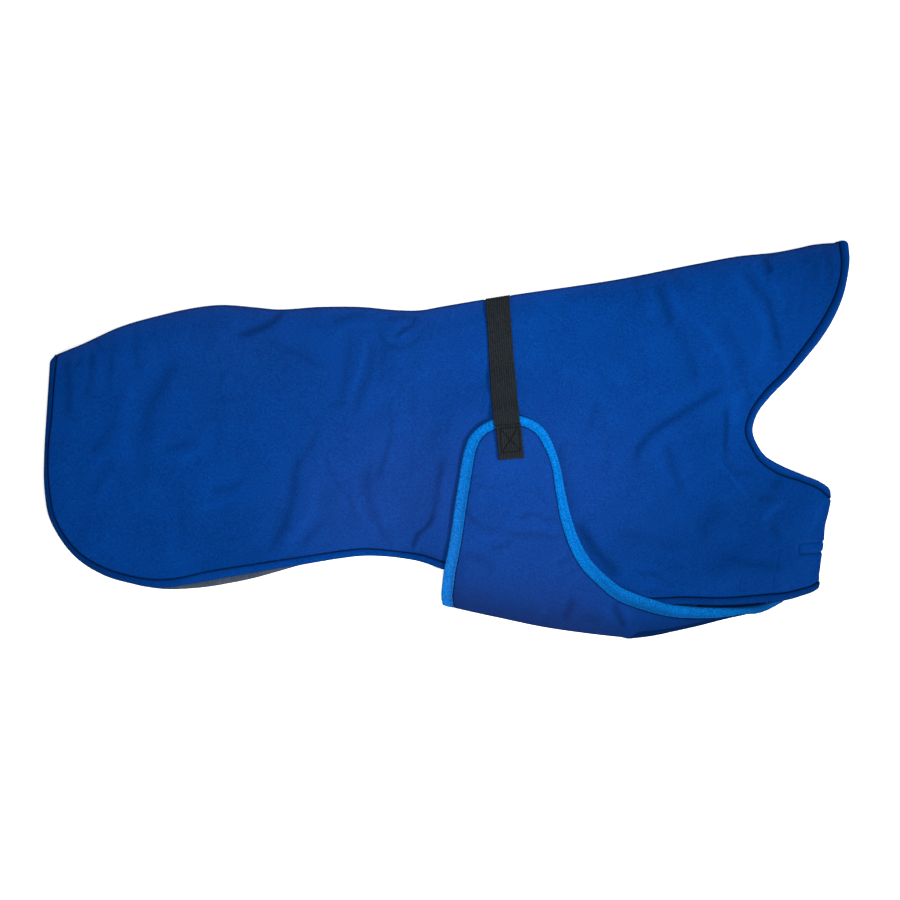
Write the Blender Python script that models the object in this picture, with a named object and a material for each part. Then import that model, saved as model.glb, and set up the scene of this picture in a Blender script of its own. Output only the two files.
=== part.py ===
"""A dog's winter coat of napped softshell, folded along its back and laid on its left side.

The neck points to +X, the back to +Y and the right side lies uppermost. The origin is on the
surface that the coat lies on, under the middle of its outline. Sizes are in millimetres, and
add_object turns them into metres.
"""

from collections import namedtuple

import bmesh
import bpy
import numpy as np
from mathutils.geometry import delaunay_2d_cdt

MM = 0.001

# Cloth and trims
CLOTH = 2.2             # softshell with its fleece backing
SEAM = 0.3              # between pieces that are sewn or laid together
BAND_WIDE = 9.0         # self-cloth band round the tail, hem and neck
BAND_THICK = 3.4
BINDING_THICK = 3.0     # fleece binding round the belly flap
TUCKED_THICK = 2.2      # the same binding where the hem presses it
ELASTIC_WIDE = 25.0
ELASTIC_THICK = 1.5
DOUBLED_THICK = 2.6     # the elastic's turned ends
DOUBLED_FROM = 14.0     # height across the coat where the turned end begins
LOFT = 1.9              # how far the upper side stands off the lower one
LOFT_FADE = 26.0        # width over which the loft dies away at the back and chest seams
BAND_STEP = 0.5         # the upper panel's under face above its bands'
LEAST_LOFT = 0.2
CORNER = 6.0            # round corner where a band's end meets the back

# How finely the solids follow the cloth
EDGE_STEP = 14.0
UPPER_STEP = 17.0
UNDER_STEP = 21.0
FLAP_STEP = 15.0
BELT_STEP = 12.0
LEAST_STEP = 5.0
REACH = 12.0            # a layer keeps above all that is within this distance beneath it
BELT_REACH = 8.0
GRID = 4.0
GRID_LOW = (-472.0, -252.0)
GRID_HIGH = (472.0, 252.0)

Edge = namedtuple("Edge", "along up")
Hem = namedtuple("Hem", "along up peek")            # peek: how far the under side shows below
Trim = namedtuple("Trim", "along up wide")          # wide: the binding's width there
Fold = namedtuple("Fold", "start middle end rise wide")

BACK_SEAM = [Edge(*row) for row in (
    (411, 208.5), (388, 204), (347, 195.5), (305, 191), (264, 183.5), (180, 167), (97, 154.5),
    (35, 145), (-7, 138), (-28, 134.5), (-48, 134.5), (-90, 138), (-132, 138), (-178, 135.5),
    (-204, 138), (-236, 140), (-277, 134.5), (-298, 129.5), (-340, 117.5), (-381, 99), (-405, 89),
)]

TAIL_AND_HEM = [Hem(*row) for row in (
    (-412, 86.5, 0), (-413.5, 62, 0), (-416, 24, 0), (-418, -10, 0), (-418, -52, 0),
    (-413.5, -79.5, 0), (-403, -100.5, 0), (-386.5, -121, 0), (-352, -142, 0), (-329, -148.5, 0),
    (-310, -152.5, 0.5), (-291.5, -153, 2), (-273, -150, 4.5), (-250, -146, 6.5),
    (-228, -142, 6.5), (-205, -138, 5), (-180, -133.5, 2), (-153.5, -129.5, 0),
    (-111, -122.5, 0), (-90, -120, 0), (-48.5, -122, 0), (-27.5, -125.5, 0), (-3.5, -133.5, 0),
    (45, -144, 0), (97, -152.5, 0), (159.5, -160, 0), (219, -166.5, 0), (236.5, -169.5, 0),
    (263.5, -172.5, 0), (281.5, -172.5, 0), (304, -171.5, 0), (332, -169, 0), (355, -165.5, 0),
    (370, -162, 0), (380, -158.5, 0), (387, -153, 0),
)]

CHEST_SEAM = [Edge(*row) for row in (
    (386, -143), (389.5, -117), (391.5, -103), (392, -93.5), (396.5, -73.5), (398.5, -64),
)]

NECK = [Edge(*row) for row in (
    (400.5, -53.5), (392.5, -46.5), (372, -38), (346, -27.5), (330, -17), (323, -7), (317.5, 9),
    (321, 24.5), (335.5, 45), (356, 66), (374, 87), (389.5, 107.5), (402, 128.5), (411.5, 149),
    (416.5, 170), (418.5, 185), (418, 208.5),
)]

# Free edge of the belly flap, from its front end round the wing to the rear of its fold
FLAP_EDGE = [Trim(*row) for row in (
    (349, -167.5, 2.5), (344, -168.5, 4), (333, -170.5, 8), (326, -172, 9), (304, -174.5, 8.5),
    (290, -175, 10), (263.5, -174.5, 12), (236.5, -172, 13), (216, -167, 13), (199, -161.5, 13),
    (179.5, -152.5, 13), (164, -140, 12), (151.5, -127.5, 12), (143, -115, 11.5),
    (137, -102.5, 11), (128.5, -77.5, 10), (123, -52.5, 9), (118, -25.5, 8), (114.5, -13, 8),
    (109, -0.5, 8.5), (104, 8, 8.5), (96, 15.5, 9), (85.5, 21.5, 9.5), (75.5, 24.5, 10),
    (63, 25, 10), (50, 21.5, 10), (35, 14, 10), (24.5, 3.5, 11), (19, -9, 11.5), (16, -21.5, 12),
    (13, -40, 12), (9, -65, 12), (5.5, -90, 12), (1.5, -115, 12), (-2.5, -134.5, 12),
    (-4.5, -150, 12), (-5.5, -164, 11.5), (-4, -172, 11),
)]

# The flap's centreline, where it is folded: the upper half's side and the under half's
FOLD_UPPER = [Edge(*row) for row in (
    (8, -174.5), (36, -180.5), (55.5, -184.5), (99, -193.5), (159.5, -202), (188, -206.5),
    (199, -200.5), (217, -198), (239, -194.5), (262, -190),
)]
FOLD_UNDER = [Edge(*row) for row in (
    (8, -174.5), (36, -180.5), (55.5, -184.5), (99, -193.5), (159.5, -202), (188, -207),
    (197, -206.5), (216.5, -203), (239, -197.5), (263.5, -192), (290, -185.5), (318, -180),
    (331, -177),
)]

# The under half's upper edge in front of its wing, just below the hem
UNDER_FRONT = [Edge(*row) for row in (
    (335, -170.2), (318, -171.7), (304, -172.6), (290, -173.4), (274, -173.8), (270, -187),
)]
FLAP_FRONT = 262.0           # the wings' cloth and the under binding end here, along the coat

# The flap's narrow front end, sewn down between the two sides
FRONT_END = [Edge(*row) for row in (
    (284, -171.5), (304, -170.5), (322, -169), (338, -167), (339, -150), (340, -133), (341, -116),
    (322, -122), (304, -138), (292, -154),
)]

BELT_LINE = [Edge(*row) for row in (
    (52.5, 142), (55.5, 103.5), (58.3, 68), (60.5, 43), (63.5, 15.5), (67.5, -20.5),
)]

FOLDS = [Fold(*row) for row in (
    ((-324, 78), (-334, 0), (-358, -74), 1.8, 17),
    ((-281, 83), (-305, 41), (-317, -35), -1.4, 15),
    ((-141, -30), (-150, -70), (-170, -112), 2.2, 15),
    ((-159, 0), (-166, -50), (-186, -112), -1.4, 12),
    ((-170, 128), (-192, 120), (-217, 107), -1.4, 12),
    ((-81, 112), (-86, 80), (-95, 47), 1.8, 14),
    ((-23, -20), (-28, -60), (-45, -105), 1.8, 14),
    ((233, 152), (275, 105), (306, 54), 2.2, 14),
    ((222, 158), (236, 115), (261, 71), -1.4, 13),
    ((301, 173), (321, 144), (333, 102), 2.2, 14),
    ((318, 178), (340, 130), (351, 84), -1.4, 12),
    ((292, 54), (235, 30), (196, -29), -1.4, 14),
    ((269, -3), (290, -32), (319, -66), 1.8, 14),
    ((306, 40), (300, 0), (322, -40), 1.4, 13),
    ((321, -93), (338, -82), (353, -64), 1.4, 14),
    ((180, -60), (205, -90), (240, -120), 1.2, 20),
)]

END_FADE = 0.6               # share of a fold's height that is lost at its ends
FLAP_DROP = (226.0, 258.0)   # where, along the coat, the flap's edge comes down off the hem
FOLD_DROP = 26.0             # beside the fold, the flap's halves come together over this width

# Linear base colours
SHELL_BLUE = (0.0030, 0.0520, 0.2900, 1)
BINDING_BLUE = (0.0060, 0.1650, 0.5780, 1)
ELASTIC_BLACK = (0.0130, 0.0180, 0.0250, 1)


def ease(value):
    value = np.clip(value, 0.0, 1.0)
    return value * value * (3 - 2 * value)


def curve_through(rows, step):
    """Points about a step apart on a smooth curve through the rows, all columns alike."""
    rows = np.array(rows, float)
    knots = np.concatenate([[0.0], np.cumsum(np.linalg.norm(np.diff(rows[:, :2], axis=0), axis=1))])
    slopes = np.gradient(rows, knots, axis=0)
    points = []
    for place in np.linspace(0.0, knots[-1], round(knots[-1] / step) + 1):
        i = min(int(np.searchsorted(knots, place, side="right")) - 1, len(rows) - 2)
        span = knots[i + 1] - knots[i]
        t = (place - knots[i]) / span
        points.append(
            rows[i] * (1 + 2 * t) * (1 - t) ** 2
            + slopes[i] * span * t * (1 - t) ** 2
            + rows[i + 1] * t * t * (3 - 2 * t)
            + slopes[i + 1] * span * t * t * (t - 1)
        )
    return np.array(points)


def inward(path, start_in=None, end_in=None):
    """Unit vectors to the left of the path; its ends may be mitred to run along another edge."""
    ahead = np.gradient(path[:, :2], axis=0)
    left = np.stack([-ahead[:, 1], ahead[:, 0]], axis=1)
    left /= np.linalg.norm(left, axis=1)[:, None]
    for index, mitre in ((0, start_in), (-1, end_in)):
        if mitre is not None:
            mitre = np.array(mitre, float)
            left[index] = mitre / (mitre @ left[index])
    return left


def distance_to(path):
    """A function that gives the distance from a place to the path."""
    starts, runs = path[:-1, :2], np.diff(path[:, :2], axis=0)
    lengths = (runs ** 2).sum(axis=1)

    def distance(along, up):
        place = np.array([along, up])
        t = np.clip(((place - starts) * runs).sum(axis=1) / lengths, 0, 1)
        return float(np.linalg.norm(starts + runs * t[:, None] - place, axis=1).min())

    return distance


def inside(outline, along, up):
    odd = False
    for (ax, ay), (bx, by) in zip(outline, np.roll(outline, -1, axis=0)):
        if (ay > up) != (by > up) and along < (bx - ax) * (up - ay) / (by - ay) + ax:
            odd = not odd
    return odd


class Heap:
    """How high everything laid down so far reaches, on an even grid over the coat."""

    def __init__(self):
        self.low = np.array(GRID_LOW)
        self.top = np.zeros([int((high - low) / GRID) for low, high in zip(GRID_LOW, GRID_HIGH)])

    def lay(self, obj):
        """Raises the heap by a finished piece."""
        corners = np.array([vertex.co for vertex in obj.data.vertices]) / MM
        obj.data.calc_loop_triangles()
        for triangle in obj.data.loop_triangles:
            a, b, c = corners[list(triangle.vertices)]
            count = int(max(np.linalg.norm(b - a), np.linalg.norm(c - a)) / (GRID * 0.7)) + 1
            for i in range(count + 1):
                for j in range(count + 1 - i):
                    point = a + (b - a) * i / count + (c - a) * j / count
                    cell = tuple(np.round((point[:2] - self.low) / GRID).astype(int))
                    self.top[cell] = max(self.top[cell], point[2])

    def lay_within(self, distance, reach, height):
        """Raises the heap wherever the distance is within reach."""
        for cell in np.ndindex(self.top.shape):
            along, up = self.low + np.array(cell) * GRID
            if distance(along, up) <= reach:
                self.top[cell] = max(self.top[cell], height(up))

    def cover(self, reach=REACH):
        """A function for the height of cloth laid over the heap: it spans the steps, then eases."""
        cells = int(np.ceil(reach / GRID))
        disc = [
            (i, j)
            for i in range(-cells, cells + 1)
            for j in range(-cells, cells + 1)
            if i * i + j * j <= (reach / GRID) ** 2
        ]
        spans = self.top
        for _ in range(2):
            spans = np.max([np.roll(spans, shift, (0, 1)) for shift in disc], axis=0)
        eased = np.mean([np.roll(spans, shift, (0, 1)) for shift in disc], axis=0)

        def height(along, up):
            place = (np.array([along, up]) - self.low) / GRID
            i, j = np.floor(place).astype(int)
            s, t = place - (i, j)
            level = (
                (1 - s) * (1 - t) * eased[i, j] + s * (1 - t) * eased[i + 1, j]
                + (1 - s) * t * eased[i, j + 1] + s * t * eased[i + 1, j + 1]
            )
            return float(level + min(level, SEAM))

        return height


def cloth_material(name, colour, roughness):
    material = bpy.data.materials.new(name)
    material.use_nodes = True
    shader = material.node_tree.nodes["Principled BSDF"]
    shader.inputs["Base Color"].default_value = colour
    shader.inputs["Roughness"].default_value = roughness
    shader.inputs["Metallic"].default_value = 0.0
    return material


def add_object(name, bm, material):
    """Finishes a mesh drawn in millimetres as a named object in metres."""
    bmesh.ops.scale(bm, vec=(MM, MM, MM), verts=bm.verts)
    bmesh.ops.recalc_face_normals(bm, faces=bm.faces)
    mesh = bpy.data.meshes.new(name)
    bm.to_mesh(mesh)
    bm.free()
    mesh.shade_smooth()
    mesh.set_sharp_from_angle(angle=np.radians(40))
    mesh.materials.append(material)
    obj = bpy.data.objects.new(name, mesh)
    bpy.context.scene.collection.objects.link(obj)
    return obj


def sheet(name, outline, height, thick, step, material):
    """A wall of cloth over an outline. height gives its under face; its rim stays upright."""
    rim = distance_to(np.vstack([outline, outline[:1]]))
    low, high = outline.min(axis=0), outline.max(axis=0)
    within = []
    for row, up in enumerate(np.arange(low[1], high[1], step * np.sqrt(0.75))):
        for along in np.arange(low[0] + step * 0.5 * (row % 2), high[0], step):
            if inside(outline, along, up) and rim(along, up) > step * 0.55:
                within.append((along, up))
    points = [tuple(point) for point in outline] + within
    around = [(i, (i + 1) % len(outline)) for i in range(len(outline))]
    places, _, faces, *_ = delaunay_2d_cdt(points, around, [], 1, 1e-6)
    bm = bmesh.new()
    corners = [bm.verts.new((x, y, height(x, y))) for x, y in places]
    for face in faces:
        bm.faces.new([corners[i] for i in face])
    grown = bmesh.ops.extrude_face_region(bm, geom=bm.faces[:])["geom"]
    upper = [part for part in grown if isinstance(part, bmesh.types.BMVert)]
    bmesh.ops.translate(bm, vec=(0, 0, thick), verts=upper)
    return add_object(name, bm, material)


def bridge(name, rings, material):
    """A closed solid through rings of the same number of points."""
    bm = bmesh.new()
    loops = [[bm.verts.new(point) for point in ring] for ring in rings]
    for near, far in zip(loops, loops[1:]):
        for i in range(len(near)):
            j = (i + 1) % len(near)
            bm.faces.new((near[i], near[j], far[j], far[i]))
    bm.faces.new(loops[0])
    bm.faces.new(loops[-1])
    return add_object(name, bm, material)


def band(name, path, inner, wide, thick, height, material, corner=None):
    """A band of turned cloth from the path inwards: flat beneath, round at both edges.

    corner is the end of the path, 0 or -1, whose outer corner is round.
    """
    rings = []
    for i, place in enumerate(path[:, :2]):
        clipped = 0.0
        if corner is not None:
            short = max(0.0, CORNER - np.linalg.norm(place - path[corner, :2]))
            clipped = CORNER - np.sqrt(CORNER ** 2 - short ** 2)
        base = height(*(place + inner[i] * wide[i] / 2))
        profile = (
            (clipped, 0.5), (clipped + (wide[i] - clipped) * 0.2, 1.0), (wide[i] * 0.82, 1.0),
            (wide[i], 0.5), (wide[i] * 0.82, 0.0), (clipped + (wide[i] - clipped) * 0.2, 0.0),
        )
        rings.append([(*(place + inner[i] * across), base + up * thick[i]) for across, up in profile])
    return bridge(name, rings, material)


def with_corner(path, at_start):
    """Adds the points that a round corner at one end of the path needs."""
    if not at_start:
        return with_corner(path[::-1], True)[::-1]
    step = (path[1] - path[0]) / np.linalg.norm(path[1] - path[0])
    added = [path[0] + step * share * CORNER for share in (0.25, 0.65, 1.15)]
    return np.vstack([path[:1], added, path[1:]])


def fold_heights():
    """A function for the soft ridges and troughs of the upper side, fullest at their middles."""
    t = np.linspace(0, 1, 9)
    fade = 1 - END_FADE * (2 * t - 1) ** 2
    lines = []
    for fold in FOLDS:
        bend = [np.outer(share, place) for share, place in zip(((1 - t) ** 2, 2 * t * (1 - t), t * t), fold)]
        lines.append((sum(bend), fold.rise, fold.wide))

    def height(along, up):
        total = 0.0
        for line, rise, wide in lines:
            gaps = np.linalg.norm(line - (along, up), axis=1)
            nearest = gaps.argmin()
            total += rise * fade[nearest] * np.exp(-((gaps[nearest] / wide) ** 2))
        return total

    return height


def loop_of(*lines):
    """One outline from lines that follow each other, without points too close at the joins."""
    points = []
    for line in lines:
        for place in line[:, :2]:
            if not points or np.linalg.norm(place - points[-1]) > LEAST_STEP:
                points.append(place)
    while np.linalg.norm(points[-1] - points[0]) < LEAST_STEP:
        points.pop()
    return np.array(points)


class Flap:
    """One half of the belly flap: its binding's path and the outline of its cloth.

    fold is its lower edge, and front any edge that it has in front of its wing, where its
    binding then ends.
    """

    def __init__(self, fold, front=()):
        self.path = curve_through(FLAP_EDGE, EDGE_STEP)
        if len(front):
            self.path = self.path[int(np.argmax(self.path[:, 0] < FLAP_FRONT)):]
        self.inner = inward(self.path, end_in=(1, -0.2))
        self.wide = self.path[:, 2]
        line = self.path[:, :2] + self.inner * (self.wide + SEAM)[:, None]
        line = line[int(np.argmax(self.path[:, 0] < FLAP_FRONT)):]
        self.outline = loop_of(line, curve_through(fold, EDGE_STEP), np.array(front).reshape(-1, 2))


class Side:
    """One side of the coat: its bands' paths and the outline of its panel."""

    def __init__(self, peeks):
        hem = [(row.along, row.up - row.peek * peeks) for row in TAIL_AND_HEM]
        self.hem = with_corner(curve_through(hem, EDGE_STEP), at_start=True)
        self.hem_in = inward(self.hem, start_in=(0.93, 0.37), end_in=(-0.05, 1))
        self.neck = with_corner(curve_through(NECK, EDGE_STEP), at_start=False)
        self.neck_in = inward(self.neck, start_in=(-0.15, -1), end_in=(-0.98, -0.2))
        inset = BAND_WIDE + SEAM
        self.outline = loop_of(
            self.hem + self.hem_in * inset, curve_through(CHEST_SEAM, EDGE_STEP),
            self.neck + self.neck_in * inset, curve_through(BACK_SEAM, EDGE_STEP),
        )

    def make(self, name, panel_height, band_height, step, material):
        """The panel and its two bands."""
        pieces = [sheet(f"side_panel_{name}", self.outline, panel_height, CLOTH, step, material)]
        for part, path, inner, corner in (
            ("hem", self.hem, self.hem_in, 0),
            ("neck", self.neck, self.neck_in, -1),
        ):
            wide, thick = np.full(len(path), BAND_WIDE), np.full(len(path), BAND_THICK)
            pieces.append(
                band(f"{part}_band_{name}", path, inner, wide, thick, band_height, material, corner)
            )
        return pieces


def belt_sections(surface):
    """Across the belt, from the back down: its two edges' places, its under face and its thickness."""
    line = curve_through(BELT_LINE, BELT_STEP)
    across = -inward(line) * ELASTIC_WIDE / 2
    sections = []
    for place, reach in zip(line, across):
        base = max(surface(*(place + reach * share)) for share in (-1, -0.5, 0, 0.5, 1))
        sections.append((place - reach, place + reach, base, elastic_thickness(place[1])))
    return sections


def elastic_thickness(up):
    return DOUBLED_THICK if up < DOUBLED_FROM else ELASTIC_THICK


def belt_rings(upper, under):
    """The belt from its upper sewn end, over the back, and down to its under sewn end."""
    rings = [
        [(*left, base), (*right, base), (*right, base + thick), (*left, base + thick)]
        for left, right, base, thick in reversed(upper)
    ]
    left, right, high, thick = upper[0]
    low = under[0][2] + thick
    back = curve_through(BACK_SEAM, EDGE_STEP)[::-1]
    turns = (
        (0.0, high, 90), (0.5, high - SEAM, 45), (0.6, (high + low) / 2, 0),
        (0.5, low + SEAM, -45), (0.0, low, -90),
    )
    for clear, level, angle in turns:
        out, rise = thick * np.cos(np.radians(angle)), thick * np.sin(np.radians(angle))
        ring = []
        for side, beyond, lift in ((left, 0, 0), (right, 0, 0), (right, out, rise), (left, out, rise)):
            up = np.interp(side[0], back[:, 0], back[:, 1]) + clear
            ring.append((side[0], up + beyond, level + lift))
        rings.append(ring)
    rings += [
        [(*left, base + thick), (*right, base + thick), (*right, base), (*left, base)]
        for left, right, base, thick in under
    ]
    return rings


def main():
    for obj in list(bpy.data.objects):
        bpy.data.objects.remove(obj, do_unlink=True)
    shell = cloth_material("softshell", SHELL_BLUE, 0.85)
    fleece = cloth_material("fleece_binding", BINDING_BLUE, 0.95)
    elastic = cloth_material("elastic_webbing", ELASTIC_BLACK, 0.8)
    heap = Heap()

    # The belt's under run and the flap's under half lie on the surface
    under_belt = belt_sections(lambda along, up: 0.0)
    near_belt = distance_to(curve_through(BELT_LINE, BELT_STEP))
    heap.lay_within(near_belt, ELASTIC_WIDE / 2 + 1, elastic_thickness)
    on_belt = heap.cover()
    flap = Flap(FOLD_UNDER, UNDER_FRONT)
    thick = np.full(len(flap.path), BINDING_THICK)
    heap.lay(sheet("belly_flap_under", flap.outline, on_belt, CLOTH, FLAP_STEP, shell))
    heap.lay(band("flap_binding_under", flap.path, flap.inner, flap.wide, thick, on_belt, fleece))
    on_flap = heap.cover()

    # The under side, and the flap's front end between the sides
    for piece in Side(peeks=1).make("under", on_flap, on_flap, UNDER_STEP, shell):
        heap.lay(piece)
    front_end = np.array(FRONT_END, float)
    heap.lay(sheet("belly_flap_front", front_end, heap.cover(), CLOTH, FLAP_STEP, shell))

    # The upper side stands off the under one, with its folds, and comes down to it at the seams
    on_under = heap.cover()
    folds = fold_heights()
    upper = Side(peeks=0)
    to_back = distance_to(curve_through(BACK_SEAM, EDGE_STEP))
    to_chest = distance_to(curve_through(CHEST_SEAM, EDGE_STEP))
    to_bands = distance_to(np.vstack([upper.hem, upper.neck]))

    def upper_height(along, up):
        loft = BAND_STEP + (LOFT - BAND_STEP) * ease(to_bands(along, up) / LOFT_FADE)
        loft = max(LEAST_LOFT, loft + folds(along, up) * ease(to_bands(along, up) / LOFT_FADE))
        seams = ease(to_back(along, up) / LOFT_FADE) * ease(to_chest(along, up) / LOFT_FADE)
        return on_under(along, up) + loft * seams

    for piece in upper.make("upper", upper_height, on_under, UPPER_STEP, shell):
        heap.lay(piece)

    # The flap's upper half lies on the upper side, and beyond the hem comes down to the under half
    on_upper = heap.cover()
    flap = Flap(FOLD_UPPER)
    to_fold = distance_to(curve_through(FOLD_UPPER, EDGE_STEP))

    def flap_height(along, up):
        down = max(
            1 - ease(to_fold(along, up) / FOLD_DROP),
            ease((along - FLAP_DROP[0]) / (FLAP_DROP[1] - FLAP_DROP[0])),
        )
        return on_upper(along, up) * (1 - down) + on_flap(along, up) * down

    thick = np.interp(flap.path[:, 0], (FLAP_FRONT, 340), (BINDING_THICK, TUCKED_THICK))
    heap.lay(sheet("belly_flap_upper", flap.outline, flap_height, CLOTH, FLAP_STEP, shell))
    heap.lay(band("flap_binding_upper", flap.path, flap.inner, flap.wide, thick, flap_height, fleece))
    bridge("belt", belt_rings(belt_sections(heap.cover(BELT_REACH)), under_belt), elastic)


main()
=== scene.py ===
# A dog's winter coat of napped softshell, folded along its back and laid on its left side.
# Drawn in millimetres: the neck points to +X, the back to +Y, and the floor is z = 0.
import bpy
import numpy as np
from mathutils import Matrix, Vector, noise
from mathutils.bvhtree import BVHTree
from mathutils.geometry import delaunay_2d_cdt


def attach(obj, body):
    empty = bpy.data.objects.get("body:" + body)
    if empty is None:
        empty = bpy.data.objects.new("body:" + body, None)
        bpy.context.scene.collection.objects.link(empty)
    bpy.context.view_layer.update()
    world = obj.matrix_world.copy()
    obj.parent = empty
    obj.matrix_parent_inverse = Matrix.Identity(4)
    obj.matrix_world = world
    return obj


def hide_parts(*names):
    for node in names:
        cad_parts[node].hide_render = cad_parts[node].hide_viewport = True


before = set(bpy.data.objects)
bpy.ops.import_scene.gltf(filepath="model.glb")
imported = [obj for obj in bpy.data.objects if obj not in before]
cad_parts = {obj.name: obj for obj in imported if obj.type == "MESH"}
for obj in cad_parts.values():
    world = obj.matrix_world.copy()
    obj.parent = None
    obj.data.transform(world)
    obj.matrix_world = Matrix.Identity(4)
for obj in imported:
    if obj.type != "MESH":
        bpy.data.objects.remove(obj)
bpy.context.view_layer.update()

cloth = {
    "thick": 2.2,           # softshell with its fleece backing
    "seam": 0.3,            # between pieces that lie on each other
    "edgeRound": 1.1,       # a cut or turned edge
    "foldRound": 2.6,       # where two layers meet in a fold or seam
    "rimRows": (0.35, 0.9, 1.7, 2.9),    # rows of points inside an edge, closer where it rounds
    "paintedEdgeShadeWide": 1.1,        # how far in from an edge shade is painted, where the cloth rounds away from the light
    "paintedEdgeShade": 0.5,        # and how dark that painted shade is
    "reach": 9.0,           # a layer spans what is within this distance beneath it
    "grid": 3.0,
    "gridLow": (-480.0, -264.0),
    "gridHigh": (480.0, 264.0),
}


def ease(value):
    value = np.clip(value, 0.0, 1.0)
    return value * value * (3 - 2 * value)


def easeBetween(values, start, end):
    # 0 at the start and 1 at the end, which may be the lower of the two
    return ease((values - start) / (end - start))


def curveThrough(rows, step):
    # points about a step apart on a smooth curve through the rows, all columns alike
    rows = np.array(rows, float)
    knots = np.concatenate([[0.0], np.cumsum(np.linalg.norm(np.diff(rows[:, :2], axis=0), axis=1))])
    slopes = np.gradient(rows, knots, axis=0)
    places = np.linspace(0.0, knots[-1], max(2, round(knots[-1] / step)) + 1)
    i = np.clip(np.searchsorted(knots, places, side="right") - 1, 0, len(rows) - 2)
    span = (knots[i + 1] - knots[i])[:, None]
    t = (places - knots[i])[:, None] / span
    return (rows[i] * (1 + 2 * t) * (1 - t) ** 2 + slopes[i] * span * t * (1 - t) ** 2
            + rows[i + 1] * t * t * (3 - 2 * t) + slopes[i + 1] * span * t * t * (t - 1))


mitreRun = 4                       # points over which a band's end turns into its mitre


def inwardOf(path, startIn=None, endIn=None):
    # unit vectors to the left of the path; an end may be mitred along another edge
    ahead = np.gradient(path[:, :2], axis=0)
    left = np.stack([-ahead[:, 1], ahead[:, 0]], axis=1)
    left /= np.linalg.norm(left, axis=1)[:, None]
    for index, mitre in ((0, startIn), (-1, endIn)):
        if mitre is not None:
            mitre = np.array(mitre, float)
            turned = mitre / (mitre @ left[index])
            for k in range(mitreRun):
                at = index + k if index == 0 else index - k
                share = 1 - ease(k / mitreRun)
                left[at] = left[at] * (1 - share) + turned * share
    return left


pairsAtOnce = 1500000              # places times segments, so that memory stays small


def nearestOn(path, places):
    # distance to the path, the signed side (left is +), the segment and the share along the whole path
    starts, runs = path[:-1, :2], np.diff(path[:, :2], axis=0)
    lengths = np.maximum((runs ** 2).sum(axis=1), 1e-12)
    parts = [np.zeros((0, 4))]
    for block in np.array_split(places, len(places) * len(starts) // pairsAtOnce + 1):
        away = block[:, None] - starts
        t = np.clip((away * runs).sum(axis=2) / lengths, 0, 1)
        gap = away - runs * t[..., None]
        size = np.linalg.norm(gap, axis=2)
        i = size.argmin(axis=1)
        rows = np.arange(len(block))
        side = np.sign(runs[i, 0] * gap[rows, i, 1] - runs[i, 1] * gap[rows, i, 0])
        parts.append(np.stack([size[rows, i], side, i, (i + t[rows, i]) / len(starts)], axis=1))
    return np.vstack(parts)


def distanceTo(path):
    return lambda places: nearestOn(path, places)[:, 0]


def insideOf(outline, places):
    # a place is inside where its line to the right crosses the outline an odd number of times
    odd = np.zeros(len(places), bool)
    along, up = places[:, 0], places[:, 1]
    for (ax, ay), (bx, by) in zip(outline, np.roll(outline, -1, axis=0)):
        if ay != by:
            odd ^= ((ay > up) != (by > up)) & (along < (bx - ax) * (up - ay) / (by - ay) + ax)
    return odd


def loopOf(least, *lines):
    # one outline from lines that follow each other, without points too close at the joins
    points = []
    for line in lines:
        for place in np.array(line)[:, :2]:
            if not points or np.linalg.norm(place - points[-1]) > least:
                points.append(place)
    while np.linalg.norm(points[-1] - points[0]) < least:
        points.pop()
    return np.array(points)


class Heap:
    # how high everything laid down so far reaches, on an even grid over the coat

    def __init__(self):
        self.low, self.cell = np.array(cloth["gridLow"]), cloth["grid"]
        size = (np.array(cloth["gridHigh"]) - self.low) / self.cell
        self.top = np.zeros(size.astype(int))

    def lay(self, piece):
        points = pointsOf(piece)
        cells = np.round((points[:, :2] - self.low) / self.cell).astype(int)
        np.maximum.at(self.top, (cells[:, 0], cells[:, 1]), points[:, 2])

    def cover(self, reach=None):
        # height of cloth laid over the heap: it spans the steps, then eases
        reach = reach or cloth["reach"]
        count = int(np.ceil(reach / self.cell))
        disc = [(i, j) for i in range(-count, count + 1) for j in range(-count, count + 1)
                if i * i + j * j <= (reach / self.cell) ** 2 + 0.1]
        spans = self.top
        for _ in range(2):
            spans = np.max([np.roll(spans, shift, (0, 1)) for shift in disc], axis=0)
        eased = spans
        for _ in range(2):
            eased = np.mean([np.roll(eased, shift, (0, 1)) for shift in disc], axis=0)

        def height(places):
            place = (places - self.low) / self.cell
            i, j = np.floor(place).astype(int).T
            s, t = (place - np.floor(place)).T
            level = ((1 - s) * (1 - t) * eased[i, j] + s * (1 - t) * eased[i + 1, j]
                     + (1 - s) * t * eased[i, j + 1] + s * t * eased[i + 1, j + 1])
            return level + np.minimum(level, cloth["seam"])

        return height


def pointsOf(piece):
    flat = np.zeros(len(piece.data.vertices) * 3)
    piece.data.vertices.foreach_get("co", flat)
    return flat.reshape(-1, 3) * 1000


def addPiece(name, points, faces, finishes, faceFinish=None, fields=None):
    # a mesh drawn in millimetres, as a named piece in metres that rides with the coat. fields are
    # values for its finish at each point: its painted shade and highlight, and its painted violet sheen
    mesh = bpy.data.meshes.new(name)
    mesh.from_pydata((np.array(points, float) * 0.001).tolist(), [], [tuple(map(int, f)) for f in faces])
    for finish in finishes:
        mesh.materials.append(finish)
    if faceFinish is not None:
        mesh.polygons.foreach_set("material_index", np.array(faceFinish, np.int32))
    for field, values in (fields or {}).items():
        mesh.attributes.new(field, "FLOAT", "POINT").data.foreach_set("value", np.array(values, np.float32))
    mesh.shade_smooth()
    mesh.update()
    piece = bpy.data.objects.new(name, mesh)
    bpy.context.scene.collection.objects.link(piece)
    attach(piece, "root")
    return piece


def replaceNode(piece, *nodes):
    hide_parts(*nodes)
    return piece


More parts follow.
